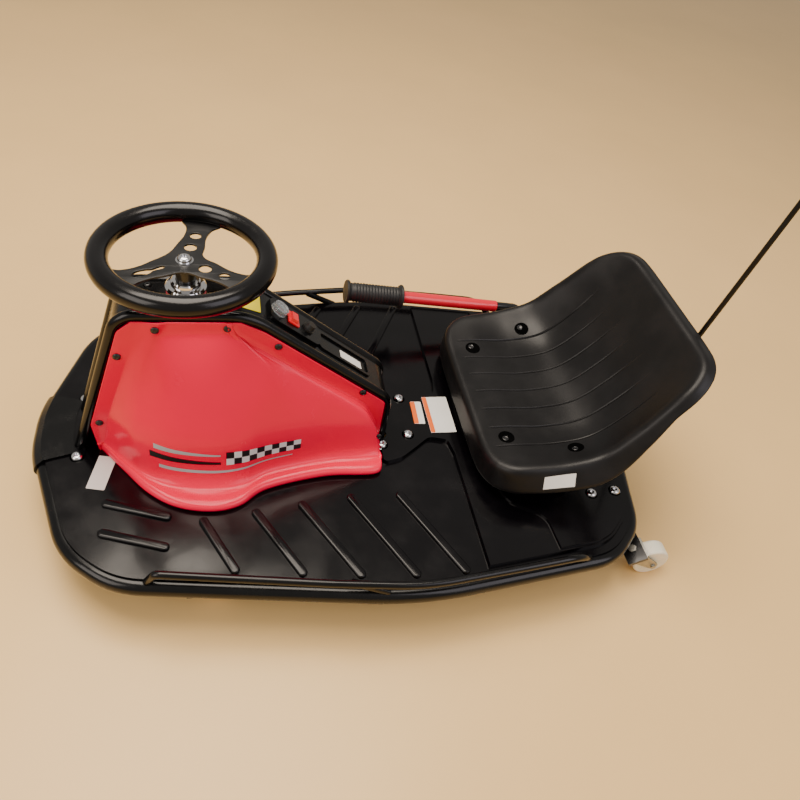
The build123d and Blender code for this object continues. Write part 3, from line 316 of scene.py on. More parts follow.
def make_materials():
    """Every material of the kart, by the record's slot or by its own name."""
    vinyls = {"label_white": "e9e7e1", "label_grey": "cfcac4", "label_yellow": "f2dc1e",
              "label_orange": "ef6a1f", "decal_grey": "a9abb0", "decal_black": "161417"}
    return {
        "frame_black": gloss_powder_coat("gloss_powder_coat_frame_tube", "040405", 0.2,
                                         specular=0.3),
        "pan_black": gloss_powder_coat("gloss_powder_coat_pressed_floor", "040305", 0.17, 3.0,
                                       0.03, 0.28),
        "tower_black": gloss_powder_coat("gloss_powder_coat_tower", "040405", 0.2, specular=0.28),
        "cover_red": gloss_moulding("gloss_moulded_polypropylene_red", "f00040", 0.18, 0.12, 0.26),
        "seat_black": creased_moulding("grained_polypropylene_seat", "0b0a0b", 0.42),
        "rim_black": gloss_moulding("self_skinned_foam_rim", "040304", 0.2, 0.15, 0.34),
        "spoke_black": gloss_powder_coat("satin_powder_coat_spokes", "0b0b0c", 0.34, 1.2, 0.02),
        "chrome": chrome_plate("bright_chrome_plate"),
        "ring_red": gloss_moulding("gloss_moulded_nylon_ring", "d3142f", 0.25),
        "tyre": moulded_rubber("moulded_tyre_rubber", "161616", 0.7),
        "hub_black": grained_moulding("moulded_nylon_wheel", "151515", 0.45),
        "fork_black": gloss_powder_coat("satin_powder_coat_fork", "121213", 0.32, 1.4),
        "motor_steel": gloss_powder_coat("satin_lacquer_motor_can", "1d1d1f", 0.36, 1.0),
        "case_black": grained_moulding("moulded_chain_case", "161616", 0.5),
        "battery_grey": grained_moulding("moulded_abs_battery_case", "2a2b2e", 0.45),
        "bracket_steel": gloss_powder_coat("satin_powder_coat_brackets", "131314", 0.32, 1.4),
        "shaft_steel": zinc_plate("zinc_plated_shaft"),
        "arm_black": gloss_powder_coat("satin_powder_coat_arm", "101011", 0.28, 1.6),
        "bar_red": gloss_powder_coat("gloss_enamel_bar_red", "dc1e34", 0.2, 1.8),
        "grip_rubber": moulded_rubber("moulded_grip_rubber", "121212", 0.55),
        "caster_steel": zinc_plate("zinc_plated_caster_fork"),
        "wheel_white": cast_urethane("cast_urethane_caster_wheel"),
        "pedal_black": grained_moulding("grained_nylon_pedal", "161616", 0.5),
        "switch_red": gloss_moulding("gloss_moulded_switch", "e01322", 0.22),
        "cap_clear": clear_moulding("clear_moulded_pvc_cap"),
        # Near-black and dull: painted shade for the holes round the seat's bolts
        "painted_well_shade": grained_moulding("painted_shade_bolt_well", "010101", 0.95, specular=0.03),
        "boot_rubber": moulded_rubber("moulded_rubber_boot", "101010", 0.5),
        "cap_black": gloss_moulding("gloss_moulded_bumper_cap", "060607", 0.2, 0.15, 0.3),
        "pole_black": gloss_moulding("pultruded_glass_fibre_pole", "060606", 0.35, 0.1, 0.25),
        "flag_orange": woven_nylon("woven_nylon_flag", "f0651c"),
        "black_zinc": gloss_powder_coat("black_zinc_screws", "101012", 0.3, 1.0),
        **{slot: vinyl_label(f"printed_vinyl_{slot}", tone) for slot, tone in vinyls.items()},
        "chequers": chequered_vinyl("printed_vinyl_chequers"),
    }


# Mesh helpers

# Where rays start in metres: above the whole kart, above the floor pan alone, beside the kart
above_kart, above_pan, beside_kart = 0.6, 0.14, 0.4
# Cells of a wrapped strip and how far it lies off its surface
strip_cells, strip_lift = (60, 8), 0.5 * MM


def in_mm(points):
    """Pairs in metres from pairs in mm."""
    return [(a * MM, b * MM) for a, b in points]


def surface_of(name):
    """Search tree over the surface of a CAD node or a finished piece."""
    solid = nodes[name] if name in nodes else bpy.data.objects[name]
    bm = bmesh.new()
    bm.from_mesh(solid.data)
    tree = BVHTree.FromBMesh(bm)
    bm.free()
    return tree


def drop_on(tree, x, y, start=above_kart):
    """Place on a surface straight below x and y in mm, its Z along the surface's normal."""
    point, normal, _, _ = tree.ray_cast(Vector((x * MM, y * MM, start)), Vector((0, 0, -1)))
    if point is None:
        raise RuntimeError(f"nothing lies below x = {x}, y = {y}")
    return place_at(point, normal if normal.z > 0 else -normal)


def from_side(tree, side, x, z):
    """Point and outward normal of a surface seen from one side, at x and z in mm."""
    start = Vector((x * MM, side * beside_kart, z * MM))
    point, normal, _, _ = tree.ray_cast(start, Vector((0, -side, 0)))
    if point is not None and normal.y * side < 0:
        normal.negate()
    return point, normal


def place_at(point, normal, heading=(1, 0, 0)):
    """Matrix at a point with Z along a normal and X near a heading."""
    up = Vector(normal).normalized()
    side = up.cross(Vector(heading)).normalized()
    turn = Matrix((side.cross(up), side, up)).transposed()
    return Matrix.Translation(point) @ turn.to_4x4()


def join_in(bm, part, place):
    """Set a part's mesh at a place and add it to another."""
    bmesh.ops.transform(part, matrix=place, verts=part.verts)
    mesh = bpy.data.meshes.new("part")
    part.to_mesh(mesh)
    part.free()
    bm.from_mesh(mesh)
    bpy.data.meshes.remove(mesh)


def lathe(bm, profile, place, steps):
    """Turn a profile of (radius, height) round the Z of a place."""
    part = bmesh.new()
    verts = [part.verts.new((r, 0.0, z)) for r, z in profile]
    edges = [part.edges.new(pair) for pair in zip(verts, verts[1:])]
    bmesh.ops.spin(part, geom=verts + edges, axis=(0, 0, 1), cent=(0, 0, 0), dvec=(0, 0, 0),
                   angle=2 * math.pi, steps=steps, use_merge=True, use_duplicate=False)
    bmesh.ops.remove_doubles(part, verts=part.verts, dist=1e-6)
    bmesh.ops.recalc_face_normals(part, faces=part.faces)
    join_in(bm, part, place)


def slab(bm, place, size, corner, taper=1.0, steps=4, crown=0.0):
    """Plate lying on a place, sizes in metres.

    Its corners are rounded, its far end is narrowed, and its top edge is rounded by a crown.
    """
    long, wide, thick = size
    part = bmesh.new()
    bmesh.ops.create_cube(part, size=1.0)
    for vert in part.verts:
        narrow = taper if vert.co.x > 0 else 1.0
        vert.co = (vert.co.x * long, vert.co.y * wide * narrow, (vert.co.z + 0.5) * thick)
    upright = [e for e in part.edges if abs(e.verts[0].co.z - e.verts[1].co.z) > thick / 2]
    bmesh.ops.bevel(part, geom=upright, affect="EDGES", offset=corner, segments=steps,
                    profile=0.5, material=-1)
    if crown:
        top = [e for e in part.edges if all(v.co.z > thick * 0.9 for v in e.verts)
               and any(abs(f.normal.z) < 0.5 for f in e.link_faces)]
        bmesh.ops.bevel(part, geom=top, affect="EDGES", offset=crown, segments=5,
                        profile=0.5, material=-1)
    join_in(bm, part, place)


def button_head(bm, place, radius, steps):
    """Button-head bolt: a low dome with a socket in it and its washer under it."""
    socket = radius * 0.36
    high = radius * 0.62
    lathe(bm, [(0.0, high * 0.45), (socket, high * 0.45), (socket, high), (radius * 0.62, high),
               (radius * 0.88, high * 0.72), (radius, high * 0.3), (radius, 0.0),
               (radius * 1.22, 0.0), (radius * 1.22, -1.0 * MM)], place, steps)


def push_rivet(bm, place, radius, steps):
    """Push rivet: a shallow mushroom head with a dished middle."""
    lathe(bm, [(0.0, radius * 0.22), (radius * 0.4, radius * 0.26), (radius * 0.48, radius * 0.4),
               (radius * 0.8, radius * 0.3), (radius, radius * 0.08), (radius, -0.6 * MM)],
          place, steps)


def wrapped_strip(tree, side, front, rear, low, high, rear_low, rear_high):
    """Strip laid on a surface seen from one side; x and z of its ends in mm."""
    bm = new_grid(strip_cells, uvs=True)
    missed = []
    for vert in bm.verts:
        share, up = vert.co.x + 0.5, vert.co.y + 0.5
        bottom = rear_low + (low - rear_low) * share
        top = rear_high + (high - rear_high) * share
        point, normal = from_side(tree, side, rear + (front - rear) * share,
                                  bottom + (top - bottom) * up)
        if point is None:
            missed.append(vert)
        else:
            vert.co = point + normal * strip_lift
    bmesh.ops.delete(bm, geom=missed, context="VERTS")
    bmesh.ops.recalc_face_normals(bm, faces=bm.faces)
    if side < 0:
        bmesh.ops.reverse_faces(bm, faces=bm.faces)
    return bm


def add_piece(name, bm, finish, body="chassis", angle=35.0, replaced=()):
    """Mesh object from a bmesh, with its finish, body and the nodes it stands for.
    """
    mesh = bpy.data.meshes.new(name)
    bm.to_mesh(mesh)
    bm.free()
    for face in mesh.polygons:
        face.use_smooth = True
    mesh.set_sharp_from_angle(angle=math.radians(angle))
    piece = bpy.data.objects.new(name, mesh)
    bpy.context.scene.collection.objects.link(piece)
    mesh.materials.append(finishes[finish])
    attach(piece, body)
    if replaced:
        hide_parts(*replaced)
    return piece


def new_grid(cells, half=0.5, uvs=False):
    """Bmesh with a flat grid of so many cells that reaches half its width to each side."""
    bm = bmesh.new()
    if uvs:
        bm.loops.layers.uv.new("UVMap")
    bmesh.ops.create_grid(bm, x_segments=cells[0], y_segments=cells[1], size=half, calc_uvs=uvs)
    return bm


def thicken(piece, wall):
    """Give a moulding its wall, inwards, and a smooth skin."""
    shell = piece.modifiers.new("wall", "SOLIDIFY")
    shell.thickness, shell.offset = wall, -1.0
    soft = piece.modifiers.new("soft", "SUBSURF")
    soft.levels = soft.render_levels = 1


finishes = {}


class KART_OT_finish_nodes(bpy.types.Operator):
    """Give each carried CAD solid its finish"""

    bl_idname = "kart.finish_nodes"
    bl_label = "Finish the solids"

    def execute(self, context):
        finishes.update(make_materials())
        for row in frame["record"]["subparts"]:
            solid = nodes[row["node"]]
            solid.data.materials.clear()
            solid.data.materials.append(finishes[row["material_slot"]])
        return {"FINISHED"}


# Seat

# Stations of the seat's surface from the front lip to the top: x, z in mm, lean in
# degrees, half width and rise of its sides in mm
seat_stations = (
    (-70.0, 163.0, -6.0, 172.0, 9.0),
    (-115.0, 165.0, 0.0, 177.0, 14.0),
    (-180.0, 164.0, 4.0, 180.0, 24.0),
    (-243.0, 180.0, 30.0, 180.0, 30.0),
    (-292.0, 232.0, 52.0, 176.0, 30.0),
    (-330.0, 295.0, 58.0, 168.0, 24.0),
    (-359.0, 348.0, 60.0, 160.0, 13.0),
)
seat_cells = (72, 84)
seat_wall = 3.5 * MM
# Share of the half width that is flat, and the power of the rise beyond it
seat_flat, seat_power = 0.5, 1.8
# Radius of the rolled edge, depth of the skirt below it, how far the skirt flares out in
# radii, and the share of its depth that is lost towards the top of the back
seat_roll = 11.0 * MM
seat_skirt = 34.0 * MM
seat_flare = 0.35
seat_skirt_loss = 0.72
# Share of the grid inside the rolled edge, and radius of its corners in half widths
seat_inner = 0.84
seat_corner = 0.3
# Bolts of the seat in mm: x, y
seat_bolt_places = ((-105.5, 107.0), (-208.0, 145.0))
# Profiles of a bolt's well and head in mm: radius, height
# The well is a near-black disc with a rim, painted shade for the hole round the bolt
well_shade_profile = ((0.0, 0.7), (11.6, 0.7), (12.2, 1.2), (12.8, 1.0), (13.4, -0.8))
seat_bolt_profile = ((0.0, 0.9), (3.4, 0.9), (4.2, 1.4), (5.0, 1.0), (5.2, 0.6))
# Where a head stands in its well: forward, outward
seat_bolt_shift = (2.6 * MM, 3.0 * MM)


def between(rows, share):
    """Row of a table at a share of its length, on a smooth curve through its rows."""
    run = share * (len(rows) - 1)
    n = min(int(run), len(rows) - 2)
    t = run - n
    before, here, after, beyond = (rows[max(min(k, len(rows) - 1), 0)]
                                   for k in (n - 1, n, n + 1, n + 2))
    return [0.5 * (2 * b + (c - a) * t + (2 * a - 5 * b + 4 * c - d) * t * t
                   + (3 * b - a - 3 * c + d) * t ** 3)
            for a, b, c, d in zip(before, here, after, beyond)]


def seat_point(across, along):
    """Point of the seat's upper surface; both run from -1 to 1."""
    x, z, lean, half, rise = between(seat_stations, min(max((along + 1) / 2, 0.0), 1.0))
    turn = math.radians(lean)
    bend = max(abs(across) - seat_flat, 0.0) / (1 - seat_flat)
    lift = rise * bend ** seat_power
    return Vector((x + lift * math.sin(turn), across * half, z + lift * math.cos(turn))) * MM


class KART_OT_seat(bpy.types.Operator):
    """Make the moulded seat with its rolled lip, skirt and bolts"""

    bl_idname = "kart.seat"
    bl_label = "Seat"

    def execute(self, context):
        steps = context.scene.kart.round_steps
        bm = new_grid(seat_cells, 1.0)
        step = 0.004
        for vert in bm.verts:
            reach = max(abs(vert.co.x), abs(vert.co.y), 1e-6)
            edge = Vector((vert.co.x, vert.co.y)) / reach
            core = Vector([max(min(c, 1 - seat_corner), seat_corner - 1) for c in edge])
            out = (edge - core).normalized() if reach > 1e-3 else Vector((0.0, 0.0))
            u, v = (core + out * seat_corner) * min(reach, seat_inner) / seat_inner
            point = seat_point(u, v)
            du = (seat_point(u + step, v) - seat_point(u - step, v)) / (2 * step)
            before, after = max(v - step, -1.0), min(v + step, 1.0)
            dv = (seat_point(u, after) - seat_point(u, before)) / (after - before)
            normal = dv.cross(du).normalized()
            if normal.z < 0:
                normal.negate()
            outward = (du.normalized() * out.x + dv.normalized() * out.y).normalized()
            # The outer cells turn a quarter circle and then fall as the skirt
            over = max(reach - seat_inner, 0.0) / (1 - seat_inner)
            turn = min(over / 0.5, 1.0) * math.pi / 2
            fall = max(over - 0.5, 0.0) / 0.5
            deep = seat_skirt * (1 - seat_skirt_loss * min(max((v + 0.1) / 0.7, 0.0), 1.0))
            vert.co = (point + outward * seat_roll * (math.sin(turn) + seat_flare * fall)
                       - normal * (seat_roll * (1 - math.cos(turn)) + deep * fall))
        bmesh.ops.recalc_face_normals(bm, faces=bm.faces)
        thicken(add_piece("seat_moulding", bm, "seat_black", angle=60.0,
                          replaced=("seat_shell",)), seat_wall)

        tree = surface_of("seat_moulding")
        hole_shades, heads = bmesh.new(), bmesh.new()
        ahead, aside = seat_bolt_shift
        for x, y in seat_bolt_places:
            for side in (1, -1):
                place = drop_on(tree, x, side * y)
                # Each well is a near-black disc, painted shade for the hole round its bolt
                lathe(hole_shades, in_mm(well_shade_profile), place, steps)
                lathe(heads, in_mm(seat_bolt_profile),
                      place @ Matrix.Translation((ahead, side * aside, 0)), steps)
        add_piece("seat_bolt_well_shades", hole_shades, "painted_well_shade")
        add_piece("seat_bolts", heads, "black_zinc")
        return {"FINISHED"}


# Covers

# Rows of the left cover's surface from its lip to its top rim in mm: height, front x,
# rear x, front shoulder x and y, crown y, back shoulder x and y, rear y
cover_rows = (
    (98.6, 511, 92, 441, 134, 173, 270, 137, 116),
    (104.0, 511, 92, 442, 136, 176, 271, 140, 119),
    (109.5, 510, 92, 441, 133, 173, 270, 137, 116),
    (112.2, 509, 92, 441, 126, 165, 269, 130, 108),
    (112.0, 507, 92, 442, 117, 153, 267, 121, 99),
    (115.0, 505, 92, 445, 109, 142, 266, 113, 90),
    (125.0, 502, 93, 449, 102, 133, 265, 108, 83),
    (145.0, 498, 98, 452, 97, 127, 264, 106, 78),
    (170.0, 493, 110, 453, 91, 123, 263, 104, 73),
    (190.0, 487, 124, 451, 84, 117, 262, 99, 67),
    (220.0, 477, 165, 444, 73, 104, 262, 88, 61),
    (250.0, 466, 210, 436, 64, 90, 264, 77, 56),
    (285.0, 453, 260, 426, 57, 72, 276, 65, 53),
    (312.0, 441, 296, 416, 51, 57, 300, 55, 50),
    (327.0, 434, 316, 410, 47.5, 48, 316, 47.6, 47.4),
    (346.5, 428, 322, 400, 47.3, 47.3, 322, 47.3, 47.3),
)
# X of the crown and Y of the flat rim's face in mm
cover_crown, cover_face = 352.0, 47.3
cover_cells = (112, 76)
cover_wall = 2.4 * MM
# Rim of the cover on the tower in mm: height, front x, rear x
cover_rim = ((98.0, 515.0, 86.0), (152.0, 521.0, 86.0), (188.0, 510.3, 86.0),
             (330.0, 468.0, 276.0), (347.0, 448.0, 310.0))


def rim_edge(height, column):
    """X of the rim's edge at a height; column 1 is its front and 2 its rear."""
    for low, high in zip(cover_rim, cover_rim[1:]):
        if height <= high[0]:
            share = max(height - low[0], 0.0) / (high[0] - low[0])
            return low[column] + (high[column] - low[column]) * share
    return cover_rim[-1][column]


def cover_point(along, up):
    """Point of the left cover; along runs from its front rim to its rear rim."""
    z, front, rear, fx, fy, cy, bx, by, ry = between(cover_rows, up)
    cx, face, rim_front, rim_rear = cover_crown, cover_face, rim_edge(z, 1), rim_edge(z, 2)
    low = (by + ry) / 2 - 9.0 * max(by - face, 0.0) / 90.0
    outline = ((rim_front, face), ((rim_front + 2 * front) / 3, face),
               (front, face + 1.0), ((front + fx) / 2, (face + fy) / 2 + 2.0), (fx, fy),
               ((fx * 0.55 + cx * 0.45), fy + (cy - fy) * 0.72), (cx, cy),
               ((bx + cx) / 2, by + (cy - by) * 0.78), (bx, by),
               ((bx + rear) / 2, low), (rear + 6, ry), (rear, (ry + face) / 2),
               (rear - 1, face + 1.0), ((rim_rear + 2 * rear) / 3, face),
               (rim_rear, face))
    x, y = between(outline, along)
    return Vector((x, max(y, face), z)) * MM


class KART_OT_covers(bpy.types.Operator):
    """Make the moulded covers with their flat rims, dished flares and rolled lips"""

    bl_idname = "kart.covers"
    bl_label = "Covers"

    def execute(self, context):
        for side, hand in hands:
            bm = new_grid(cover_cells)
            for vert in bm.verts:
                point = cover_point(vert.co.x + 0.5, vert.co.y + 0.5)
                vert.co = (point.x, side * point.y, point.z)
            bmesh.ops.recalc_face_normals(bm, faces=bm.faces)
            outer = max(bm.faces, key=lambda f: abs(f.calc_center_median().y))
            if outer.normal.y * side < 0:
                bmesh.ops.reverse_faces(bm, faces=bm.faces)
            thicken(add_piece(f"cover_moulding_{hand}", bm, "cover_red", angle=80.0,
                              replaced=(f"cover_{hand}",)), cover_wall)
        return {"FINISHED"}


# Fasteners

# Button-head bolts of the floor in mm: x, y
floor_bolts = ((545.0, 60.0), (545.0, -60.0), (34.0, 42.0), (34.0, -42.0), (82.0, 62.0),
               (82.0, -62.0), (-246.0, 185.0), (-289.0, 182.0), (-246.0, -172.0),
               (-300.0, -165.0))
# Push rivets on the covers' rims in mm: x, z, and how far they stand off the rim
cover_rivets = ((471, 287), (419, 335), (326, 337), (257, 305), (125, 212), (95, 140), (508, 158))
rivet_stand = 0.8 * MM
# Screws of the tower's spine in mm: x, y, and their radius
spine_screws = ((320.0, 22.0), (320.0, -22.0), (430.0, 22.0), (430.0, -22.0))
spine_screw_radius = 4.5 * MM


class KART_OT_fasteners(bpy.types.Operator):
    """Make the bolts of the floor, the covers' rivets and the spine's screws"""

    bl_idname = "kart.fasteners"
    bl_label = "Fasteners"

    def execute(self, context):
        settings = context.scene.kart
        steps = settings.round_steps
        pan = surface_of("floor_pan")
        bm = bmesh.new()
        for x, y in floor_bolts:
            button_head(bm, drop_on(pan, x, y, above_pan), settings.bolt_radius, steps)
        add_piece("floor_bolts", bm, "chrome")

        bm = bmesh.new()
        for side, hand in hands:
            tree = surface_of(f"cover_moulding_{hand}")
            for x, z in cover_rivets:
                point = from_side(tree, side, x, z)[0]
                if point is not None:
                    point.y += side * rivet_stand
                    push_rivet(bm, place_at(point, (0, side, 0)), settings.rivet_radius, steps)
        add_piece("cover_rivets", bm, "black_zinc")

        spine = surface_of("spine_panel")
        bm = bmesh.new()
        for x, y in spine_screws:
            button_head(bm, drop_on(spine, x, y), spine_screw_radius, steps)
        add_piece("spine_screws", bm, "black_zinc")
        return {"FINISHED"}


# Pressed beads of the floor in mm: inner x and y, outer x and y, sides that have them
bead_lines = (
    (363.0, 190.0, 322.0, 272.0, (1, -1)), (289.0, 180.0, 231.0, 284.0, (1, -1)),
    (221.0, 170.0, 150.0, 294.0, (1, -1)), (146.0, 162.0, 71.0, 300.0, (1, -1)),
    (69.0, 162.0, -3.0, 300.0, (1, -1)), (496.0, 150.0, 414.0, 178.0, (1,)),
    (497.0, 200.0, 415.0, 228.0, (1,)),
)
# Width and height of a bead, and the height in mm that it starts from
bead_wide, bead_high = 13.6 * MM, 4.6 * MM
bead_foot = 97.9


class KART_OT_beads(bpy.types.Operator):
    """Round the pressed beads of the floor pan"""

    bl_idname = "kart.beads"
    bl_label = "Beads"

    def execute(self, context):
        bm = bmesh.new()
        for x0, y0, x1, y1, sides in bead_lines:
            for side in sides:
                first = Vector((x0, side * y0, bead_foot)) * MM
                last = Vector((x1, side * y1, bead_foot)) * MM
                run = last - first
                place = (Matrix.Translation((first + last) / 2)
                         @ Matrix.Rotation(math.atan2(run.y, run.x), 4, "Z"))
                slab(bm, place, (run.length + bead_wide, bead_wide, bead_high),
                     bead_wide * 0.49, steps=8, crown=bead_high * 0.62)
        add_piece("pan_beads", bm, "pan_black", angle=50.0)
        return {"FINISHED"}


# Plates and labels

# Labels on a node: name, finish, node, then in mm x, y, length, width and thickness, then
# turn in degrees
labels = (
    ("floor_label_small", "label_white", "floor_pan", 7.0, -7.7, 19.0, 52.0, 0.3, -2.0),
    ("floor_stripe_small", "label_orange", "floor_pan", 12.6, -7.8, 8.4, 51.0, 0.5, -2.0),
    ("floor_label_large", "label_white", "floor_pan", -30.0, -2.5, 45.0, 84.0, 0.3, 0.0),
    ("floor_stripe_large", "label_orange", "floor_pan", -11.6, -2.5, 7.6, 83.0, 0.5, 0.0),
    ("floor_label_front", "label_grey", "floor_pan", 508.0, 92.0, 26.0, 62.0, 0.3, -12.0),
    ("spine_label_yellow", "label_yellow", "spine_panel", 297.0, 0.0, 34.0, 42.0, 0.3, 0.0),
    ("spine_label_white", "label_white", "spine_panel", 141.0, 2.0, 44.0, 16.0, 0.3, 0.0),
)
label_corner = 1.5 * MM
# Label on the seat's skirt in mm: front x, rear x, low and high z at its front and rear
skirt_label = (-140.0, -188.0, 152.0, 171.0, 162.0, 181.0)
# Front plate: its middle's x, its size, its corners and the width left at its front end. It
# lies at the height that the pan has at plate_rest in mm
plate_middle = 566.0 * MM
plate_size = (64.0 * MM, 124.0 * MM, 2.4 * MM)
plate_corner, plate_taper = 6.0 * MM, 0.45
plate_rest = (530.0, 90.0)


class KART_OT_plates(bpy.types.Operator):
    """Lay the bare front plate and the blank labels on what carries them"""

    bl_idname = "kart.plates"
    bl_label = "Plates and labels"

    def execute(self, context):
        for name, finish, node, x, y, long, wide, thick, turn in labels:
            bm = bmesh.new()
            place = drop_on(surface_of(node), x, y) @ Matrix.Rotation(math.radians(turn), 4, "Z")
            slab(bm, place, (long * MM, wide * MM, thick * MM), label_corner)
            add_piece(name, bm, finish)

        bm = wrapped_strip(surface_of("seat_moulding"), 1, *skirt_label)
        add_piece("seat_label", bm, "label_white")

        bm = bmesh.new()
        top = drop_on(surface_of("floor_pan"), *plate_rest, above_pan).translation.z
        slab(bm, Matrix.Translation((plate_middle, 0.0, top)), plate_size, plate_corner,
             plate_taper)
        add_piece("front_plate", bm, "pan_black")
        return {"FINISHED"}


# Decals of the covers

# Strips on a cover's side in mm: name, finish, front x, rear x, low and high z at the
# front, low and high z at the rear
decals = (
    ("chequers", "chequers", 330.0, 220.0, 146.0, 170.0, 142.0, 160.0),
    ("streak_low", "decal_grey", 424.0, 232.0, 134.0, 140.0, 132.0, 134.0),
    ("streak_mid", "decal_black", 436.0, 338.0, 150.0, 160.0, 148.0, 152.0),
    ("streak_high", "decal_grey", 430.0, 338.0, 166.0, 174.0, 163.0, 166.0),
)


class KART_OT_decals(bpy.types.Operator):
    """Lay a plain chequered band and streaks on both covers"""

    bl_idname = "kart.decals"
    bl_label = "Decals"

    def execute(self, context):
        for side, hand in hands:
            tree = surface_of(f"cover_moulding_{hand}")
            for name, finish, *ends in decals:
                bm = wrapped_strip(tree, side, *ends)
                add_piece(f"decal_{name}_{hand}", bm, finish)
        return {"FINISHED"}


# Drift bar, steering wheel, tyre and pedal

bar_rear = Vector((-189.0, -240.0, 157.0)) * MM
bar_lean = math.radians(5.5)
bar_ahead = Vector((math.cos(bar_lean), 0, math.sin(bar_lean)))
# The grip in mm: its start along the bar, its length and its radius
grip_from, grip_long, grip_radius = 194.0, 108.0, 17.0
# Its profile in mm, as height over that radius and way along: its flange, one rib with the
# way in shares of the pitch, and its end with the way from the end
grip_flange = ((-5.7, 0.0), (5.0, 0.0), (5.5, 2.5), (4.0, 5.0), (0.0, 6.5))
grip_rib = ((-0.6, 0.0), (0.9, 0.3), (0.9, 0.6), (-0.6, 0.9))
grip_end = ((0.0, -8.0), (4.0, -6.0), (5.0, -3.0), (3.5, -0.6), (-grip_radius, 0.0))
# Its ribs: how many, and in mm where the first starts and how long all are
grip_ribs, ribs_from, ribs_long = 15, 8.0, 86.0


class KART_OT_grip(bpy.types.Operator):
    """Make the ribbed rubber grip of the drift bar"""

    bl_idname = "kart.grip"
    bl_label = "Grip"

    def execute(self, context):
        pitch = ribs_long / grip_ribs
        profile = list(grip_flange)
        for n in range(grip_ribs):
            profile += [(over, ribs_from + (n + way) * pitch) for over, way in grip_rib]
        profile += [(over, grip_long + way) for over, way in grip_end]
        bm = bmesh.new()
        place = place_at(bar_rear + bar_ahead * grip_from * MM, bar_ahead, (0, 0, 1))
        lathe(bm, in_mm((grip_radius + over, way) for over, way in profile), place,
              2 * context.scene.kart.round_steps)
        add_piece("ribbed_grip", bm, "grip_rubber", body="drift_bar", angle=50.0,
                  replaced=("drift_grip",))
        return {"FINISHED"}


# Side of a spoke from its bay to the rim in mm: distance out, half width
spoke_side = ((38.0, 17.6), (58.0, 14.6), (78.0, 17.4), (95.5, 26.0))
spoke_axes = (30.0, 147.0, 257.0)
spoke_bay = 26.0
# Lightening holes of two spokes in mm: distance out, radius
spoke_holes = ((31.0, 8.2), (59.5, 7.4))
# Half of the long hole in the third spoke in mm: distance out, half width
spoke_slot = ((28.0, 0.0), (29.5, 2.2), (46.0, 2.6), (50.0, 4.6), (68.0, 4.6), (72.0, 0.0))
# The plate's half thickness, its rounded edge and how far its middle lies below the hub
plate_half, plate_edge, plate_drop = 1.1 * MM, 0.4 * MM, 1.5 * MM
hub_place = Vector((379.0, 0.0, 412.0)) * MM
hub_bolt_radius, hub_bolt_lift = 9.4 * MM, 1.0 * MM
# Profiles of the headset's nut and ring in mm: radius, height over the ring's foot
nut_profile = ((13.2, 7.3), (19.0, 7.3), (25.0, 11.2), (27.0, 12.8), (27.0, 15.0), (24.6, 17.4),
               (19.6, 18.0), (19.2, 23.4), (17.4, 25.2), (13.2, 25.2), (13.2, 7.3))
ring_profile = ((13.6, 0.0), (25.0, 0.0), (26.0, 1.2), (26.0, 4.6), (24.0, 6.8), (13.6, 6.8),
                (13.6, 0.0))
ring_foot = Vector((379.0, 0.0, 357.4)) * MM


def turned(points, angle):
    """Points of (along, aside) in mm, turned by degrees round the hub."""
    cos, sin = math.cos(math.radians(angle)), math.sin(math.radians(angle))
    return [(x * cos - y * sin, x * sin + y * cos) for x, y in points]


def add_loop(curve, points):
    """Closed smooth loop through points in mm."""
    loop = curve.splines.new("BEZIER")
    loop.bezier_points.add(len(points) - 1)
    loop.use_cyclic_u = True
    for knot, (x, y) in zip(loop.bezier_points, points):
        knot.co = (x * MM, y * MM, 0.0)
        knot.handle_left_type = knot.handle_right_type = "AUTO"


class KART_OT_wheel(bpy.types.Operator):
    """Make the pierced spoke plate, its bolt and the headset's nut and ring"""

    bl_idname = "kart.wheel"
    bl_label = "Steering wheel"

    def execute(self, context):
        steps = context.scene.kart.round_steps
        curve = bpy.data.curves.new("spoke_plate", "CURVE")
        curve.dimensions, curve.fill_mode, curve.resolution_u = "2D", "BOTH", 10
        curve.extrude, curve.bevel_depth, curve.bevel_resolution = plate_half, plate_edge, 2
        curve.offset = -plate_edge
        edge = []
        for n, axis in enumerate(spoke_axes):
            following = spoke_axes[(n + 1) % 3] + (360 if n == 2 else 0)
            edge += turned([(x, -y) for x, y in spoke_side], axis)
            edge += turned(reversed(spoke_side), axis)
            edge += turned([(spoke_bay, 0.0)], (axis + following) / 2)
        add_loop(curve, edge)
        for axis in spoke_axes[1:]:
            for far, radius in spoke_holes:
                ring = [(far + x * radius, y * radius)
                        for x, y in ((1, 0), (0, 1), (-1, 0), (0, -1))]
                add_loop(curve, turned(ring, axis))
        back = [(x, -y) for x, y in reversed(spoke_slot[1:-1])]
        add_loop(curve, turned([*spoke_slot, *back], spoke_axes[0]))
        flat = bpy.data.objects.new("spoke_plate_curve", curve)
        mesh = bpy.data.meshes.new_from_object(flat)
        bpy.data.objects.remove(flat)
        bm = bmesh.new()
        bm.from_mesh(mesh)
        bmesh.ops.remove_doubles(bm, verts=bm.verts, dist=1e-6)
        bmesh.ops.recalc_face_normals(bm, faces=bm.faces)
        bmesh.ops.translate(bm, vec=hub_place - Vector((0, 0, plate_drop)), verts=bm.verts)
        add_piece("spoke_plate", bm, "spoke_black", body="steering", angle=40.0,
                  replaced=("steering_spokes",))

        bm = bmesh.new()
        button_head(bm, Matrix.Translation(hub_place + Vector((0, 0, hub_bolt_lift))),
                    hub_bolt_radius, steps)
        add_piece("hub_button", bm, "chrome", body="steering", replaced=("hub_bolt",))

        for name, profile, finish, body, node in (
                ("headset_nut", nut_profile, "chrome", "steering", "headset_cup"),
                ("headset_band", ring_profile, "ring_red", "chassis", "headset_ring")):
            bm = bmesh.new()
            lathe(bm, in_mm(profile), Matrix.Translation(ring_foot), steps * 2)
            add_piece(name, bm, finish, body=body, replaced=(node,))
        return {"FINISHED"}


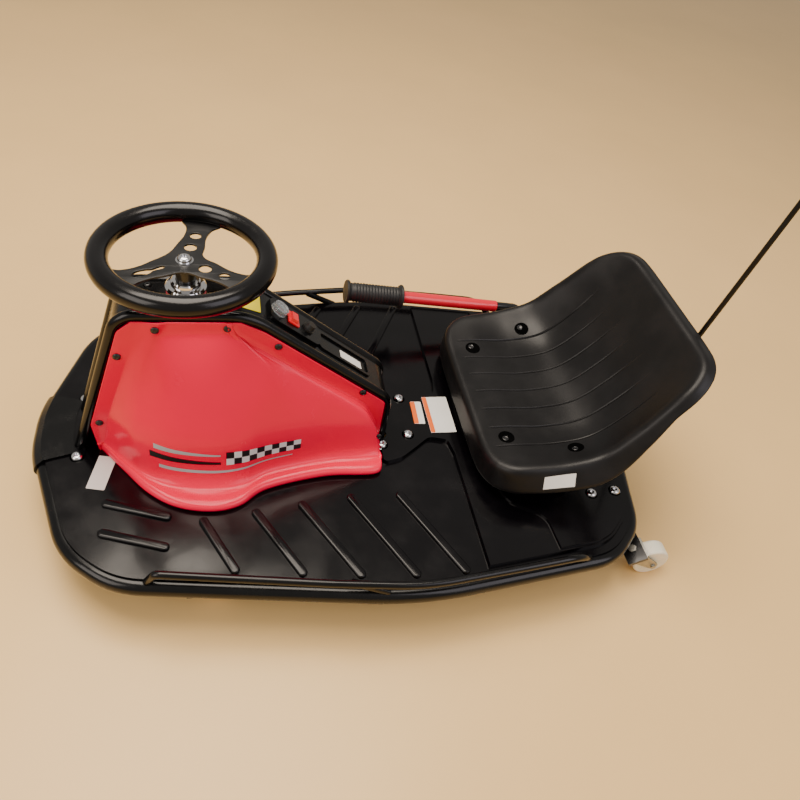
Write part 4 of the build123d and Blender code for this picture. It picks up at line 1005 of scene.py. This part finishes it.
# Tread of the drive tyre: blocks to a row, their size and corners, each row's distance from
# the middle, how far its blocks' feet lie inside the tyre's radius, and its slant
tread_count = 44
tread_block, tread_corner = (10.5 * MM, 12.0 * MM, 1.7 * MM), 1.2 * MM
tread_aside, tread_inset, tread_slant = 7.6 * MM, 2.6 * MM, math.radians(22)
# Ribs of the pedal: where each is in mm, and the size and corners of one
pedal_ribs = tuple((x, -222.0) for x in (404.0, 416.0, 428.0, 440.0, 452.0))
pedal_rib, pedal_corner = (5.0 * MM, 46.0 * MM, 1.6 * MM), 1.6 * MM


class KART_OT_tread(bpy.types.Operator):
    """Make the tread blocks round the drive tyre and the ribs of the pedal"""

    bl_idname = "kart.tread"
    bl_label = "Tread"

    def execute(self, context):
        low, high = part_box("drive_tyre")
        middle = (Vector(low) + Vector(high)) / 2
        radius = (high[2] - low[2]) / 2
        bm = bmesh.new()
        for n in range(tread_count):
            for row, shift in ((-1, 0.0), (1, 0.5)):
                turn = Matrix.Rotation(2 * math.pi * (n + shift) / tread_count, 4, "Y")
                aside = Matrix.Translation((0, row * tread_aside, radius - tread_inset))
                tilt = Matrix.Rotation(-row * tread_slant, 4, "X")
                slab(bm, Matrix.Translation(middle) @ turn @ aside @ tilt, tread_block,
                     tread_corner)
        add_piece("tyre_tread", bm, "tyre", body="drive_wheel")

        pad = surface_of("accelerator_pedal")
        bm = bmesh.new()
        for x, y in pedal_ribs:
            slab(bm, drop_on(pad, x, y), pedal_rib, pedal_corner)
        add_piece("pedal_ribs", bm, "pedal_black")
        return {"FINISHED"}


# Flag

flag_cells = (40, 24)
# Lean of the pole, length of the hoist along it, and the foot of the hoist from the front
# lower corner of the pennant's box
flag_lean = math.radians(8.5)
flag_hoist = 150.0 * MM
flag_foot = Vector((-5.5, 0.0, 1.0)) * MM
# How much shorter the cloth is than its box, its droop for each metre out, and the share of
# its height that it loses on the way to its point
flag_short = 19.0 * MM
flag_droop, flag_taper = 0.3, 0.97
# Height of the ripples, and their turn in radians from the hoist to the point and up the hoist
flag_wave, flag_run, flag_climb = 9.0 * MM, 9.0, 2.0


class KART_OT_flag(bpy.types.Operator):
    """Make the pennant's cloth, hung at its pole and rippled"""

    bl_idname = "kart.flag"
    bl_label = "Flag"

    def execute(self, context):
        low, high = (Vector(corner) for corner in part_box("flag_pennant"))
        pole_low, pole_high = (Vector(corner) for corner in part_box("flag_pole"))
        up = Vector((-math.sin(flag_lean), 0, math.cos(flag_lean)))
        foot = Vector((high.x, (pole_low.y + pole_high.y) / 2, low.z)) + flag_foot
        away = Vector((-1, 0, -flag_droop)) * (high.x - low.x - flag_short)
        bm = new_grid(flag_cells)
        for vert in bm.verts:
            out, rise = vert.co.x + 0.5, vert.co.y + 0.5
            height = 0.5 + (rise - 0.5) * (1 - flag_taper * out)
            ripple = math.sin(out * flag_run + height * flag_climb) * out ** 0.7
            vert.co = (foot + up * flag_hoist * height + away * out
                       + Vector((0, flag_wave * ripple, 0)))
        bmesh.ops.recalc_face_normals(bm, faces=bm.faces)
        cloth = add_piece("flag_cloth", bm, "flag_orange", angle=80.0,
                          replaced=("flag_pennant",))
        return {"FINISHED"}


# Stage

floor_half = 9.0
camera_place = Vector((0.3387, 0.8078, 0.9774))
camera_yaw = math.radians(-109.9)
camera_pitch = math.radians(-44.1)
camera_roll = math.radians(13.1)
camera_lens_mm = 32.28


class KART_OT_stage(bpy.types.Operator):
    """Make the floor, the lights and the photograph's camera"""

    bl_idname = "kart.stage"
    bl_label = "Stage"

    def execute(self, context):
        bm = new_grid((1, 1), floor_half)
        mesh = bpy.data.meshes.new("stage_floor")
        bm.to_mesh(mesh)
        bm.free()
        floor = bpy.data.objects.new("stage_floor", mesh)
        context.scene.collection.objects.link(floor)
        pale = context.scene.kart.floor_pale
        material, tree, shader = new_material("honed_stone_floor", pale, 0.34, IOR=1.45)
        tint(shader, noise_of(tree, 420.0, 5.0, 0.6), shade(pale, 0.86))
        floor.data.materials.append(material)

        world = bpy.data.worlds.new("studio")
        context.scene.world = world
        world.use_nodes = True
        sky = world.node_tree.nodes["Background"].inputs
        sky["Color"].default_value, sky["Strength"].default_value = colour("f3ece2"), 0.5

        # Place, aim, size in metres, power in watts and colour of each area light
        lights = (
            ("key", (0.5, -0.3, 2.6), (0.1, 0.0, 0.1), 1.8, 95.0, "fff2e2"),
            ("fill", (-1.6, 1.8, 2.2), (0.0, 0.0, 0.1), 2.0, 30.0, "fdf6ff"),
            ("front", (2.2, 1.2, 1.6), (0.2, 0.0, 0.2), 1.4, 26.0, "fff4ea"),
        )
        for name, place, aim, size, power, hue in lights:
            data = bpy.data.lights.new(name, "AREA")
            data.energy, data.size, data.color = power, size, colour(hue)[:3]
            lamp = bpy.data.objects.new(name, data)
            lamp.location = place
            lamp.rotation_mode = "QUATERNION"
            lamp.rotation_quaternion = (Vector(aim) - Vector(place)).to_track_quat("-Z", "Y")
            context.scene.collection.objects.link(lamp)

        data = bpy.data.cameras.new("photo_camera")
        data.sensor_width, data.lens = 36.0, camera_lens_mm
        data.clip_start, data.clip_end = 0.01, 50.0
        camera = bpy.data.objects.new("photo_camera", data)
        turn = (Matrix.Rotation(camera_yaw - math.pi / 2, 3, "Z")
                @ Matrix.Rotation(camera_pitch + math.pi / 2, 3, "X")
                @ Matrix.Rotation(camera_roll, 3, "Z"))
        camera.rotation_mode = "QUATERNION"
        camera.rotation_quaternion = turn.to_quaternion()
        camera.location = camera_place
        context.scene.collection.objects.link(camera)
        context.scene.camera = camera
        return {"FINISHED"}


class KART_PT_panel(bpy.types.Panel):
    """Lists the kart's operators in the sidebar"""

    bl_label = "Drift kart"
    bl_idname = "KART_PT_panel"
    bl_space_type = "VIEW_3D"
    bl_region_type = "UI"
    bl_category = "Kart"

    def draw(self, context):
        settings = context.scene.kart
        for name in settings.bl_rna.properties.keys():
            if name not in ("rna_type", "name"):
                self.layout.prop(settings, name)
        for operator in operators:
            self.layout.operator(operator.bl_idname)


operators = (KART_OT_finish_nodes, KART_OT_seat, KART_OT_covers, KART_OT_fasteners,
             KART_OT_beads, KART_OT_plates, KART_OT_decals, KART_OT_grip, KART_OT_wheel,
             KART_OT_tread, KART_OT_flag, KART_OT_stage)


def register():
    for cls in (KartSettings, *operators, KART_PT_panel):
        bpy.utils.register_class(cls)
    bpy.types.Scene.kart = PointerProperty(type=KartSettings)


def unregister():
    del bpy.types.Scene.kart
    for cls in reversed((KartSettings, *operators, KART_PT_panel)):
        bpy.utils.unregister_class(cls)


def main():
    register()
    for operator in operators:
        group, name = operator.bl_idname.split(".")
        getattr(getattr(bpy.ops, group), name)()


if __name__ == "__main__":
    main()
